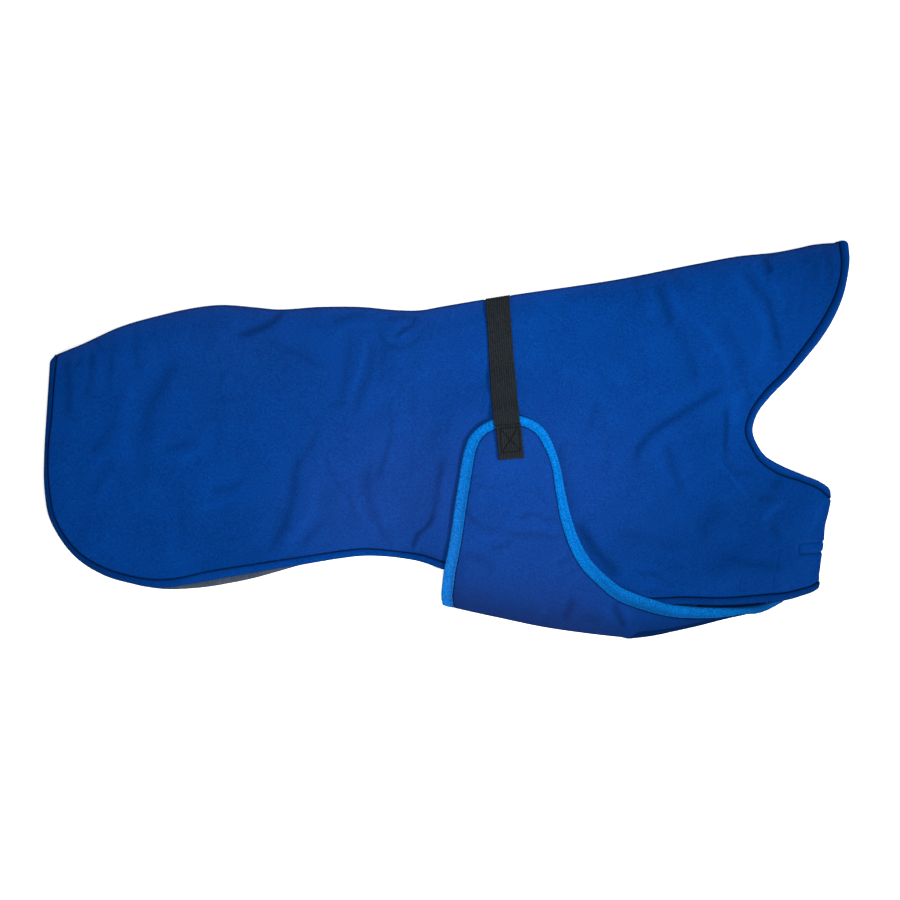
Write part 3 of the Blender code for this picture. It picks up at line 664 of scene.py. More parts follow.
def clothSheet(name, outline, level, step, low, thick, finishes, stitches=(), rounding=None,
               dark=0.0, shade=None, paintedSheen=None):
    # a closed sheet with rounded edges. level says where its edge lies in its thickness: 0 at the
    # under face, 1 at the upper. low and thick are functions of places. stitches: lines that press
    # it down and how much; shade is painted along them and along its edges. dark: the least painted
    # shade on it. shade and the last function: more painted shade and highlight, and a painted violet sheen
    closed = np.vstack([outline, outline[:1]])
    toRim = distanceTo(closed)
    around = [outline]
    ahead = np.gradient(closed, axis=0)[:-1]
    inwards = np.stack([-ahead[:, 1], ahead[:, 0]], axis=1) / np.linalg.norm(ahead, axis=1)[:, None]
    for inset in cloth["rimRows"]:
        ring = outline + inwards * inset
        around.append(ring[(toRim(ring) > inset * 0.97) & insideOf(outline, ring)])
    inner = hexPoints(outline, step, cloth["rimRows"][-1] + step * 0.5)
    for line, _ in stitches:
        rows = curveThrough(line, stitching["step"])
        across = inwardOf(rows)
        inner = inner[distanceTo(rows)(inner) > stitching["rows"][-1] + step * 0.4]
        for offset in stitching["rows"]:
            beside = rows + across * offset
            around.append(beside[(toRim(beside) > 0.5) & insideOf(outline, beside)])
    points = [tuple(place) for place in np.vstack(around + [inner])]
    count = len(outline)
    rimEdges = [(i, (i + 1) % count) for i in range(count)]
    places, _, faces, *_ = delaunay_2d_cdt(points, rimEdges, [], 1, 1e-6)
    places, faces = np.array(places), np.array(faces)
    a, b, c = places[faces[:, 0]], places[faces[:, 1]], places[faces[:, 2]]
    spin = (b[:, 0] - a[:, 0]) * (c[:, 1] - a[:, 1]) - (b[:, 1] - a[:, 1]) * (c[:, 0] - a[:, 0])
    faces[spin < 0] = faces[spin < 0][:, ::-1]

    found = nearestOn(closed, places)
    rim = found[:, 0] < 0.01
    nearest = np.round(found[:, 2]).astype(int)
    edgeLevel = np.append(level, level[:1])[nearest]
    if rounding is None:
        radius = np.where(np.abs(edgeLevel - 0.5) < 0.2, cloth["edgeRound"], cloth["foldRound"])
    else:
        radius = np.append(rounding, rounding[:1])[nearest]
    bulge = np.sqrt(1 - (1 - np.clip(found[:, 0] / radius, 0, 1)) ** 2)
    under, wall = low(places), thick(places)
    pressed = np.zeros(len(places))
    # painted shade along its edges, where the cloth rounds away from the light
    turned = cloth["paintedEdgeShade"] * np.exp(-(found[:, 0] / cloth["paintedEdgeShadeWide"]) ** 2)
    # stitched lines press it down, with painted shade along them
    for line, much in stitches:
        gap = distanceTo(curveThrough(line, stitching["step"]))(places)
        sunk = (much * stitching["press"] * np.exp(-(gap / stitching["pressWide"]) ** 2)
                + much * stitching["sink"] * np.exp(-(gap / stitching["sinkWide"]) ** 2))
        pressed = np.maximum(pressed, sunk)
        turned = np.maximum(turned, much * stitching["dark"] * np.exp(-(gap / stitching["darkWide"]) ** 2))
    top = under + wall * (edgeLevel + (1 - edgeLevel) * bulge) - pressed * bulge
    bottom = under + wall * edgeLevel * (1 - bulge)
    top[rim] = (under + wall * edgeLevel)[rim]

    # the upper points and then the lower ones, which share the rim
    verts = np.vstack([np.column_stack([places, top]), np.column_stack([places, bottom])[~rim]])
    upperIndex = np.arange(len(places))
    lowerIndex = upperIndex.copy()
    lowerIndex[~rim] = len(places) + np.arange((~rim).sum())
    both = np.vstack([upperIndex[faces], lowerIndex[faces][:, ::-1]])
    # more painted shade and highlight by place; dark is the least painted shade
    if shade is not None:
        turned = np.clip(turned + shade(places), -1, 1)
    paintedShading = np.concatenate([turned, turned[~rim]])
    fields = {"paintedShading": np.maximum(dark, paintedShading) if dark else paintedShading}
    # a painted violet sheen by place
    if paintedSheen is not None:
        cast = np.clip(paintedSheen(places), 0, 1.5)
        fields["paintedSheen"] = np.concatenate([cast, cast[~rim]])
    return addPiece(name, verts, both, finishes, np.repeat([0, 1], len(faces)), fields)


bandShape = {
    "thick": 3.1, "uneven": 0.12, "step": 1.5, "around": 18,
    "gap": 0.3, "underGap": 0.05,                        # between a band and its panel's edge
    "corner": 6.5, "hemCorner": 3.0, "neckCorner": 5.0,   # its outer corners: at the back, at the chest
    "hemMitres": ((0.93, 0.37), (-0.05, 1)),              # the way its start and its end are cut
    "neckMitres": ((-0.15, -1), (-0.98, -0.2)),
    "hemPlump": 2.4, "neckPlump": 2.05,
    "hemLean": 0.12, "tailLean": -0.5, "neckLean": 0.55,   # how much lower its inner side lies
    "tail": (-375, -405),                                # between these places the tail's lean sets in
    "hemBulge": (1.55, 0.4), "neckBulge": (1.8, 0.6),     # how far rim and seam lie beyond the table's
    "outerDark": 0.9, "innerDark": 1.0,                  # how wide the painted shade of each edge is
    # how much shade is painted on the outer and inner edge of the hem's band and of the neck's
    "hemRims": (0.45, 0.45), "neckRims": (0.0, 0.3),
    # painted shade on the hem's band by its place along: darker at the tail, in the panel's shade, and
    # towards the chest
    "hemPaintedShade": ((-375, 0.5), (-300, 0.2), (-250, 0.03), (-70, 0.05), (0, 0.4), (390, 0.45)),
    "neckDark": 0.52, "neckFade": 11.0, "neckLeast": 0.05,    # the neck's is painted dark at its seam, in the groove's shade, and fades
    "neckHigh": (20, 80), "neckHighDark": 0.14,           # it is painted darker up at the back
    "neckLowRim": 0.35,                                  # and its rim is painted darker down at the chest
}


def roundedSide(value, power):
    return np.sign(value) * np.abs(value) ** (2 / power)


def bandRings(path, inner, wide, thick, height, sides, ends=(0, 0), notch=None, plump=2.4, lean=0.0,
              fuzz=0.0, seed=0.0, rims=(0.45, 0.45), shade=None):
    # rings of a turned band from the path inwards: flat beneath, round at both edges, and how much
    # shade is painted on each point. ends: radii of the outer corners at its start and end.
    # notch: the share of its width where a stitched line presses it, how deep and how wide.
    # lean: how much lower its inner side lies, or its outer side where it is less than nothing.
    # rims: how much shade is painted on its outer and inner edge. shade: more painted shade, by the
    # place and its distance from the outer and the inner edge
    angles = np.linspace(0, 2 * np.pi, sides, endpoint=False)
    v = -roundedSide(np.cos(angles), plump)
    w = np.where(np.sin(angles) >= 0, roundedSide(np.sin(angles), plump), roundedSide(np.sin(angles), 6.0))
    wobble = np.array([noise.noise(Vector((i * 0.06, seed, 3.1))) for i in range(len(path))])
    clipped = np.zeros(len(path))
    for index, radius in zip((0, -1), ends):
        short = np.maximum(0.0, radius - np.linalg.norm(path[:, :2] - path[index, :2], axis=1))
        clipped = np.maximum(clipped, radius - np.sqrt(radius ** 2 - short ** 2))
    clipped = np.minimum(clipped, wide * 0.85)
    across = ((clipped + wide) / 2)[:, None] + ((wide - clipped) / 2)[:, None] * v
    share = across / wide[:, None]
    places = path[:, None, :2] + inner[:, None, :] * across[..., None]
    base = height(path[:, :2] + inner * (wide / 2)[:, None])
    tall = (thick * (1 + bandShape["uneven"] * wobble))[:, None]
    lean, share = np.broadcast_to(lean, len(path))[:, None], np.clip(share, 0, 1)
    leant = 1 - np.maximum(lean, 0) * share ** 2 - np.maximum(-lean, 0) * (1 - share) ** 2
    lift = tall * (0.5 + 0.5 * w) * leant
    if notch is not None:
        where, depth, breadth = notch
        lift = lift - (w > 0) * tall * depth * np.exp(-((share - where) * wide[:, None] / breadth) ** 2)
    rings = np.concatenate([places, (base[:, None] + lift)[..., None]], axis=2)
    fromOuter, fromInner = across - clipped[:, None], wide[:, None] - across
    # painted shade along its outer and inner edge, and more by place
    dark = np.maximum(rims[0] * np.exp(-(fromOuter / bandShape["outerDark"]) ** 2),
                      rims[1] * np.exp(-(fromInner / bandShape["innerDark"]) ** 2))
    if shade is not None:
        dark = np.minimum(1, dark + shade(places, fromOuter, fromInner))
    if fuzz:                           # loose tufts of two sizes push it in and out
        push = np.array([noise.noise(Vector(place * 0.9)) + 0.6 * noise.noise(Vector(place * 2.1))
                         for place in rings.reshape(-1, 3)])
        out = np.concatenate([inner[:, None, :] * v[:, None], np.tile(w, (len(path), 1))[..., None]], axis=2)
        out /= np.maximum(np.linalg.norm(out, axis=2), 1e-6)[..., None]
        rings = rings + out * (push.reshape(len(path), sides) * fuzz * (w > -0.5))[..., None]
        rings[..., 2] = np.maximum(rings[..., 2], 0.0)
    return rings, dark.reshape(-1)


def bridgeRings(name, rings, finishes, faceFinish=None, paintedShading=None, paintedSheen=None):
    # a closed piece from rings of points that follow each other
    count, sides = rings.shape[:2]
    faces = []
    for i in range(count - 1):
        for j in range(sides):
            k = (j + 1) % sides
            faces.append((i * sides + j, i * sides + k, (i + 1) * sides + k, (i + 1) * sides + j))
    half = sides // 2
    for start, flip in ((0, False), ((count - 1) * sides, True)):
        for j in range(half - 1):                    # a strip of quads across each end
            quad = (start + j, start + j + 1, start + sides - 2 - j, start + sides - 1 - j)
            faces.append(quad if flip else quad[::-1])
    points = rings.reshape(-1, 3)
    finish = None if faceFinish is None else faceFinish(points, faces)
    fields = {"paintedShading": paintedShading}
    if paintedSheen is not None:
        fields["paintedSheen"] = paintedSheen(points[:, :2])
    return addPiece(name, points, fixedFaces(points, faces), finishes, finish, fields)


def fixedFaces(points, faces):
    # turns every face of a closed piece outwards, by the sign of its volume
    quads = np.array(faces)
    a, b, c, d = (points[quads[:, k]] for k in range(4))
    volume = (np.einsum("ij,ij->i", a, np.cross(b, c)) + np.einsum("ij,ij->i", a, np.cross(c, d))).sum()
    return quads if volume > 0 else quads[:, ::-1]


def withCorner(path, radius):
    # closer points where a round corner starts the path
    near = np.linalg.norm(path[:, :2] - path[0, :2], axis=1) < radius * 1.2
    keep = path[~near]
    run = keep[0] - path[0]
    return np.vstack([[path[0] + run * share for share in (0, 0.04, 0.1, 0.18, 0.3, 0.45, 0.62, 0.8)], keep])


side = {
    "upperStep": 2.45, "underStep": 6.0, "edgeStep": 2.6, "backBulge": 0.5,
    "loft": 3.3, "leastLoft": 0.05, "loftFade": 30.0,     # the upper side stands off the lower one,
    "seamLoft": 0.12,                                    # with this share of it left at the back
    "slackFade": (9.0, 20.0), "creaseFade": 6.0,          # slack and creases end at bands and seams
    "bandStep": 0.3,                                     # the panel's under face above its bands'
    "dip": 0.45, "dipWide": 5.0, "groove": 1.5,           # the panel sinks where it is sewn to a band
    "bandEdge": 0.35,                                    # and its edge lies low in its thickness there
    "flapPress": 1.1, "flapPressWide": 15.0, "flapPressFade": 14.0,     # the flap weighs the cloth down
    "beltPress": 1.7, "beltPressHalf": 11.9, "beltPressFade": 1.6,      # the belt pulls the back in
    "backDark": (0.13, 0.1), "backDarkFrom": (120, 200), "backDarkWide": 9,    # painted shade along the back, where the cloth turns away from the light
    # painted shade on the back's edge, and a painted violet sheen along the back and how far in it reaches
    "backRim": 0.3, "backCast": 0.6, "backCastWide": 10,
    "underWider": 3.0, "neckPeek": (0.8, -0.6),           # the under side's bands show beyond the upper
    "greyUntil": -120.0, "greyDark": 0.3,                # and are turned fleece side up at the tail, with less painted shade there
    # how much shade is painted on the under side and on its bands, which lie in the upper side's shade
    "underDark": 0.5, "underBandDark": 0.8,
}


def greyWhereShown(points, faces):
    # 0, the fleecy inner side, for faces of the under band that look up where it shows below the hem
    middle = points[np.array(faces)].mean(axis=1)
    ring = points.reshape(-1, bandShape["around"], 3)[..., 2].mean(axis=1)
    owner = np.minimum(np.array(faces)[:, 0] // bandShape["around"], len(ring) - 1)
    return np.where((middle[:, 2] > ring[owner]) & (middle[:, 0] < side["greyUntil"]), 1, 0)


def backLine(step):
    # the back seam, pulled in a little where the belt goes round it
    line = curveThrough(backSeam, step)
    away = np.abs(line[:, 0] - beltLine[0][0])
    free = ease((away - side["beltPressHalf"]) / side["beltPressFade"])
    line[:, 1] += side["backBulge"] - side["beltPress"] * (1 - free)
    return line


def sideOf(peeks):
    # the bands' paths and grooves and the panel's outline. peeks is 1 for the under side, which
    # shows a little beyond the upper one and has wider bands
    wider = side["underWider"] * peeks
    ahead, rise = side["neckPeek"]
    hem = [(along, up - peek * peeks, wide + wider, high) for along, up, peek, wide, high in tailAndHem]
    neck = [(along + ahead * peek * peeks, up + rise * peek * peeks, wide + wider, high)
            for along, up, peek, wide, high in neckEdge]
    made = {"hem": withCorner(curveThrough(hem, bandShape["step"]), bandShape["corner"]),
            "neck": withCorner(curveThrough(neck, bandShape["step"])[::-1], bandShape["corner"])[::-1]}
    for part in ("hem", "neck"):
        path = made[part]
        made[part + "In"] = inwardOf(path, *bandShape[part + "Mitres"])
        rim, seam = bandShape[part + "Bulge"]
        path[:, :2] -= made[part + "In"] * rim
        path[:, 2] += rim - seam
        gap = bandShape["underGap"] if peeks else bandShape["gap"]
        groove = path[:, :2] + made[part + "In"] * (path[:, 2:3] + gap)
        made[part + "Groove"] = np.column_stack([groove, path[:, 3]])
    chest = curveThrough(chestSeam, 1.0)
    for up, depth in chestNotches:
        chest[:, 0] -= depth * np.exp(-((chest[:, 1] - up) / 1.4) ** 2)
    made["outline"] = loopOf(0.95, made["hemGroove"], chest, made["neckGroove"], backLine(side["edgeStep"]))
    return made


def grooveGap(made):
    # distance to the nearer groove, and the height that its table gives there
    def gap(places):
        hem, neck = nearestOn(made["hemGroove"], places), nearestOn(made["neckGroove"], places)
        hemHigh = made["hemGroove"][hem[:, 2].astype(int), 2]
        neckHigh = made["neckGroove"][neck[:, 2].astype(int), 2]
        return np.minimum(hem[:, 0], neck[:, 0]), np.where(hem[:, 0] < neck[:, 0], hemHigh, neckHigh)

    return gap


# sewn through all layers: the places along each line and how deep it is pulled in
chestBar = [
    (((367.5, -108.5), (390.0, -107.2)), 0.6), (((390.0, -118.3), (367.5, -119.2)), 1.0),
    (((367.0, -119.0), (366.6, -113.8), (367.0, -108.7)), 0.7),
]
flapEndLines = [
    (((346.0, -115.0), (343.0, -129.0), (339.5, -143.0), (337.5, -153.0)), 0.3),
    (((304.5, -146.0), (304.3, -152.0), (304.2, -157.5)), 0.25),
]


def flatCloth(thick):
    return lambda places: np.full(len(places), thick)


belt = {
    "wide": 26.2, "thick": 1.5, "step": 0.8, "reach": 6.0,
    "narrow": 0.96, "wider": 0.08, "widens": (130, 15),   # pulled narrower over the back than at its end
    # ribs, their depth and shape, and how much shade is painted in the grooves between them
    "ribs": 11, "ribDepth": 0.55, "ribPower": 0.7, "grooveDark": 0.75,
    "selvedge": 0.4, "selvedgeWide": 0.04, "deepest": 0.7,     # its firm edges are as thin as its grooves
    "doubled": 2.6, "doubledFrom": 15.6, "turnRun": 1.2,
    "shift": -1.3,                                       # the turned end is sewn a little askew
    "endRound": 0.6, "endRoundWide": 1.2, "stiff": 1.2,   # its edges drop no more than this
    "box": (8.0, 33.0), "boxHalf": 9.6, "boxPress": 0.7, "boxPressWide": 0.75,
    "backGap": 0.2, "backBulge": 0.5,                    # how it stands off the back seam
}


def nearBelt(places):
    return distanceTo(curveThrough(beltLine, 6.0))(places) <= belt["wide"] / 2 + 1


print("laying out the under side")
heap = Heap()
cells = np.stack(np.meshgrid(*[np.arange(n) for n in heap.top.shape], indexing="ij"), axis=-1).reshape(-1, 2)
cellPlaces = heap.low + cells * heap.cell
onRun = nearBelt(cellPlaces)
turned = cellPlaces[onRun][:, 1] < belt["doubledFrom"]
heap.top[tuple(cells[onRun].T)] = np.where(turned, belt["doubled"], belt["thick"])     # its under run
onBelt = heap.cover()

flap = {
    # its steps, and how much shade is painted on the under half, which lies in the upper half's shade
    "step": 2.2, "underStep": 4.0, "frontStep": 5.0, "edgeStep": 2.2, "underDark": 0.9,
    "front": 262.0, "upperFront": 281.0,                 # where the cloth of each half ends at its front
    "drop": (229.0, 254.0), "foldDrop": 46.0,             # it goes down beneath the hem, and to its fold
    "askew": 5.0, "askewFrom": (150, 210),                # the under half lies up under the hem
    "slack": 0.8, "plump": 0.9, "dip": 0.2, "dipWide": 3.0,
    "foldShade": (66.0, 0.66),                           # how far from its fold shade is painted on it, and how much
    "cast": (0.6, 0.4), "castWide": 120,                  # painted violet sheen, stronger at its fold,
    "castFront": 0.85, "castFrontFrom": (120, 230),       # and nearly gone at its front
    "bindingThick": 3.0, "tuckedThick": 2.2, "tucked": 340,
    "bindingStep": 1.1, "bindingAround": 20, "bindingGap": 0.1,
    # the binding's roundness and tufts, how much shade is painted on its outer and inner edge, and where a
    # painted violet sheen on it ends
    "bindingPlump": 2.3, "fuzz": 0.25, "rims": (0.25, 0.1), "bindingCast": (28, 3),
    # painted shade on the binding by the place along, where it turns from the window: at its outer
    # edge, and at its inner
    "paintedShadeAlong": ((20, 0.12, 0.42), (60, 0.0, 0.06), (110, 0.03, 0.1), (140, 0.22, 0.26), (165, 0.28, 0.54),
             (200, 0.26, 0.66), (225, 0.36, 0.64), (260, 0.34, 0.58), (300, 0.42, 0.46), (330, 0.6, 0.6)),
    "paintedBindingShadeWide": 10,
    "pressed": (190, 220),                               # the under binding is painted dark beneath the hem, in its shade, setting in between these places
    # how far the hem's shadow reaches by the place along, and where it sets in and ends
    "hemShadow": ((250, 0.6), (266, 0.8), (284, 2.6), (305, 4.6), (340, 6.0)),
    "shadowStart": (225, 250), "shadowEnd": (345, 315),
    "notch": (0.25, 0.9), "notchDark": 0.22, "notchDarkWide": 1.1,     # its stitches press it, with painted shade along them
    "notchAt": ((0, 0.78), (0.27, 0.78), (0.33, 0.32), (0.53, 0.32), (0.6, 0.78), (1, 0.78)),
}


def flapHalf(fold, until, front=()):
    # the binding's path and the way inwards, the line of its seam, and the cloth's outline
    path = curveThrough(flapEdge, flap["bindingStep"])
    frontLines = []
    if len(front):                     # the under half: a little askew, its binding ended under the hem
        path[:, 1] += flap["askew"] * easeBetween(path[:, 0], *flap["askewFrom"])
        path = path[int(np.argmax(path[:, 0] < until + 1)):]
        frontLines = [curveThrough(front, flap["edgeStep"])]
    inner = inwardOf(path, endIn=(1, -0.2))
    line = path[:, :2] + inner * (path[:, 2] + flap["bindingGap"])[:, None]
    line = line[int(np.argmax(path[:, 0] < until)):]
    outline = loopOf(1.5, line, curveThrough(fold, flap["edgeStep"]), *frontLines)
    return {"path": path, "inner": inner, "line": line, "outline": outline}


def edgeLevels(outline, folds, value):
    # the edge's level in the thickness: value along the folds, the middle elsewhere
    level = np.full(len(outline), 0.5)
    for fold in folds:
        level[distanceTo(fold)(outline) < 0.6] = value
    return level


# painted shade on the under binding beneath the hem, where it lies in shade
def underPaintedShade(places, fromOuter, fromInner):
    return easeBetween(places[..., 0], *flap["pressed"])


underHalf = flapHalf(foldUnder, flap["front"], underFront)
hiddenFold = curveThrough(foldUnder, 2.0)
hiddenFold = hiddenFold[hiddenFold[:, 0] < 186]          # further on it shows past the upper half
bellyFlapUnder = clothSheet(
    "bellyFlapUnder", underHalf["outline"], edgeLevels(underHalf["outline"], [hiddenFold], 1.0),
    flap["underStep"], onBelt, flatCloth(cloth["thick"]), (softshell, softshell),
    dark=flap["underDark"])
replaceNode(bellyFlapUnder, "belly_flap_under")
heap.lay(bellyFlapUnder)

path = underHalf["path"]
rings, dark = bandRings(path, underHalf["inner"], path[:, 2], np.full(len(path), flap["bindingThick"]),
                        onBelt, flap["bindingAround"], seed=1.0, shade=underPaintedShade)
flapBindingUnder = bridgeRings("flapBindingUnder", rings, (fleeceBinding,), paintedShading=dark)
replaceNode(flapBindingUnder, "flap_binding_under")
heap.lay(flapBindingUnder)
onFlap = heap.cover()


def sewnDip(made):
    # the panel's thickness, less where it is sewn to a band
    gap = grooveGap(made)

    def thick(places):
        away, high = gap(places)
        return cloth["thick"] - side["dip"] * (1 - ease(away / side["dipWide"])) * (1 - ease(high))

    return thick


# painted shade on the hem's band by its place along
def hemPaintedShade(places, fromOuter, fromInner):
    return np.interp(places[..., 0], *zip(*bandShape["hemPaintedShade"]))


# painted shade on the neck's band: dark at its seam, more up at the back, and on its rim down at the chest
def neckPaintedShade(places, fromOuter, fromInner):
    high = easeBetween(places[..., 1], *bandShape["neckHigh"])
    lowRim = bandShape["neckLowRim"] * (1 - high) * np.exp(-(fromOuter / bandShape["outerDark"]) ** 2)
    seam = bandShape["neckDark"] + bandShape["neckHighDark"] * high
    return np.maximum(bandShape["neckLeast"], seam - fromInner / bandShape["neckFade"]) + lowRim


def makeSide(tag, made, panelLow, bandLow, step, finishes, stitches=(), shade=None, paintedSheen=None):
    # a side panel and its two bands
    upper = tag == "Upper"
    outline = made["outline"]
    back, chest = backLine(2.0), curveThrough(chestSeam, 2.0)
    onSeam = np.minimum(distanceTo(back)(outline), distanceTo(chest)(outline)) < 1.6
    # the under side is painted darker, as it lies in the upper side's shade
    seamLevel, dark = (0.0, 0.0) if upper else (1.0, side["underDark"])    # the two sides meet at a seam
    level = np.where(onSeam, seamLevel, side["bandEdge"])
    rounding = np.where(onSeam, cloth["foldRound"], side["groove"])
    panel = clothSheet(f"sidePanel{tag}", outline, level, step, panelLow, sewnDip(made), finishes,
                       stitches, rounding, dark, shade, paintedSheen)
    replaceNode(panel, f"side_panel_{tag.lower()}")
    bands = []
    # each band with the shade painted on it, and the radii of its outer corners
    for part, nap, ends in (("hem", hemPaintedShade, (bandShape["corner"], bandShape["hemCorner"])),
                            ("neck", neckPaintedShade, (bandShape["neckCorner"], bandShape["corner"]))):
        path, lean = made[part], bandShape[part + "Lean"]
        if part == "hem":
            lean = lean + (bandShape["tailLean"] - lean) * easeBetween(path[:, 0], *bandShape["tail"])
        rings, dark = bandRings(path, made[part + "In"], path[:, 2], np.full(len(path), bandShape["thick"]),
                                bandLow, bandShape["around"], ends, plump=bandShape[part + "Plump"],
                                lean=lean, seed=len(bands) + 5.0, rims=bandShape[part + "Rims"], shade=nap)
        # the under bands are painted dark in the upper side's shade, less where their grey fleece shows
        if not upper:
            grey = rings[..., 0].reshape(-1) < side["greyUntil"]
            dark = np.where(grey, dark * side["greyDark"], side["underBandDark"])
        band = bridgeRings(f"{part}Band{tag}", rings, (softshell, fleeceBack),
                           faceFinish=None if upper else greyWhereShown, paintedShading=dark)
        bands.append(replaceNode(band, f"{part}_band_{tag.lower()}"))
    return [panel, *bands]


underMade = sideOf(1)
underSide = makeSide("Under", underMade, onFlap, onFlap, side["underStep"], (fleeceBack, softshell))
for piece in underSide:
    heap.lay(piece)
frontOutline = np.array(frontEnd, float)
bellyFlapFront = clothSheet(
    "bellyFlapFront", frontOutline, edgeLevels(frontOutline, [], 0.0), flap["frontStep"], heap.cover(),
    flatCloth(cloth["thick"]), (softshell, fleeceBack))
replaceNode(bellyFlapFront, "belly_flap_front")
heap.lay(bellyFlapFront)

print("laying the upper side with its creases")
onUnder = heap.cover()
upperMade = sideOf(0)
upperHalf = flapHalf(foldUpper, flap["upperFront"])
toBack, toChest = distanceTo(backLine(3.0)), distanceTo(curveThrough(chestSeam, 3.0))
upperGap = grooveGap(upperMade)
toFlapRim = distanceTo(upperHalf["path"])
flapWhole = loopOf(1.5, upperHalf["path"], curveThrough(foldUpper, flap["edgeStep"]))
creases = Creases(sideCreases)
sideSlack = slackCloth(11.0)


def upperLow(places):
    # the panel's under face: it stands off the lower side, less along the seams and beneath the flap
    away, high = upperGap(places)
    seams = np.minimum(toBack(places), toChest(places))
    atBand = side["bandStep"] + high
    loft = atBand + (side["loft"] - side["bandStep"] - high) * ease(away / side["loftFade"])
    beside = np.where(insideOf(flapWhole, places), 0.0, toFlapRim(places))
    weight = side["flapPress"] * (1 - ease(beside / side["flapPressWide"]))
    loft = loft - weight * ease(away / side["flapPressFade"])
    loft = loft * (side["seamLoft"] + (1 - side["seamLoft"]) * ease(seams / side["loftFade"]))
    fromBand, fromSeam = side["slackFade"]
    loft = loft + sideSlack(places) * ease(away / fromBand) * ease(seams / fromSeam)
    fade = side["creaseFade"]
    loft = loft + creases.height(places) * ease(away / fade) * ease(seams / fade)
    return onUnder(places) + np.maximum(side["leastLoft"], loft)


def upperShade(places):
    # painted shade and highlight: along its creases, over parts where the light falls off, and
    # along the back where it turns away from the light
    much, more = side["backDark"]
    back = much + more * easeBetween(places[:, 0], *side["backDarkFrom"])
    back = back * np.exp(-(toBack(places) / side["backDarkWide"]) ** 2)
    rimmed = side["backRim"] * np.exp(-(toBack(places) / cloth["paintedEdgeShadeWide"]) ** 2)
    return creases.shade(places) + spread(paintedShadingPatches, places) + back + rimmed


# a painted violet sheen over parts of it and along the back
def upperPaintedSheen(places):
    back = side["backCast"] * np.exp(-(toBack(places) / side["backCastWide"]) ** 2)
    return spread(paintedSheenPatches, places) + back


upperSide = makeSide("Upper", upperMade, upperLow, onUnder, side["upperStep"], (softshell, fleeceBack),
                     chestBar + flapEndLines, upperShade, upperPaintedSheen)
for piece in upperSide:
    heap.lay(piece)

print("laying the flap's upper half and the belt")
onUpper = heap.cover()
toFold = distanceTo(curveThrough(foldUpper, 4.0))
flapFolds = Creases(flapCreases, 1.05)
flapSlack = slackCloth(23.0)
toFlapLine = distanceTo(upperHalf["line"])


def flapLow(places):
    # what the flap rests on: the upper side, and lower down the under half of the flap itself
    down = np.maximum((1 - np.clip(toFold(places) / flap["foldDrop"], 0, 1)) ** 1.25,
                      easeBetween(places[:, 0], *flap["drop"]))
    return onUpper(places) * (1 - down) + onFlap(places) * down


def flapClothLow(places):
    line, fold = toFlapLine(places), toFold(places)
    uneven = flapFolds.height(places) * ease(line / 2.5) + flap["slack"] * flapSlack(places) * ease(line / 8)
    return flapLow(places) + np.maximum(0, flap["plump"] * ease(line / 12) * ease(fold / 10) + uneven)


def flapThick(places):
    return cloth["thick"] - flap["dip"] * (1 - ease(toFlapLine(places) / flap["dipWide"]))


def flapShade(places):
    # painted shade and highlight along its creases and over parts of it, and painted shade
    # as it goes down to its fold
    reach, much = flap["foldShade"]
    down = much * (1 - np.clip(toFold(places) / reach, 0, 1)) ** 1.3
    return flapFolds.shade(places) + spread(flapPaintedShadingPatches, places) + down


# a painted violet sheen, stronger at its fold and nearly gone at its front
def flapPaintedSheen(places):
    much, more = flap["cast"]
    cast = much + more * (1 - np.clip(toFold(places) / flap["castWide"], 0, 1))
    return cast * (1 - flap["castFront"] * easeBetween(places[:, 0], *flap["castFrontFrom"]))


upperLevels = edgeLevels(upperHalf["outline"], [curveThrough(foldUpper, 2.0)], 0.0)
bellyFlapUpper = clothSheet(
    "bellyFlapUpper", upperHalf["outline"], upperLevels, flap["step"], flapClothLow, flapThick,
    (softshell, fleeceBack), shade=flapShade, paintedSheen=flapPaintedSheen)
replaceNode(bellyFlapUpper, "belly_flap_upper")
heap.lay(bellyFlapUpper)

path = upperHalf["path"]
tapered = np.interp(path[:, 0], (flap["front"], flap["tucked"]), (flap["bindingThick"], flap["tuckedThick"]))
notchAt = np.interp(np.linspace(0, 1, len(path)), *zip(*flap["notchAt"]))[:, None]
stitchIn = notchAt * path[:, 2:3]


def bindingPaintedShade(places, fromOuter, fromInner):
    # painted shade where it turns away from the window round the wing and along its stitches, and
    # the hem's painted shadow at its front
    along = places[..., 0]
    tableAlong, outer, inner = zip(*flap["paintedShadeAlong"])
    outer, inner = np.interp(along, tableAlong, outer), np.interp(along, tableAlong, inner)
    paintedLightAndShade = outer + (inner - outer) * np.clip(fromOuter / flap["paintedBindingShadeWide"], 0, 1)
    notched = flap["notchDark"] * np.exp(-((fromOuter - stitchIn) / flap["notchDarkWide"]) ** 2)
    toHem = distanceTo(upperMade["hem"])(places.reshape(-1, 2)).reshape(along.shape)
    shadow = np.exp(-(toHem / np.interp(along, *zip(*flap["hemShadow"]))) ** 2)
    shadow = shadow * easeBetween(along, *flap["shadowStart"]) * easeBetween(along, *flap["shadowEnd"])
    return paintedLightAndShade + notched + shadow


# a painted violet sheen where the binding lies furthest towards the tail
def bindingPaintedSheen(places):
    return easeBetween(places[:, 0], *flap["bindingCast"])


rings, dark = bandRings(path, upperHalf["inner"], path[:, 2], tapered, flapLow, flap["bindingAround"],
                        ends=(0, 2.5), notch=(notchAt, *flap["notch"]), plump=flap["bindingPlump"],
                        fuzz=flap["fuzz"], seed=2.0, rims=flap["rims"], shade=bindingPaintedShade)
flapBindingUpper = bridgeRings("flapBindingUpper", rings, (fleeceBinding,),
                               paintedShading=dark, paintedSheen=bindingPaintedSheen)
replaceNode(flapBindingUpper, "flap_binding_upper")
heap.lay(flapBindingUpper)


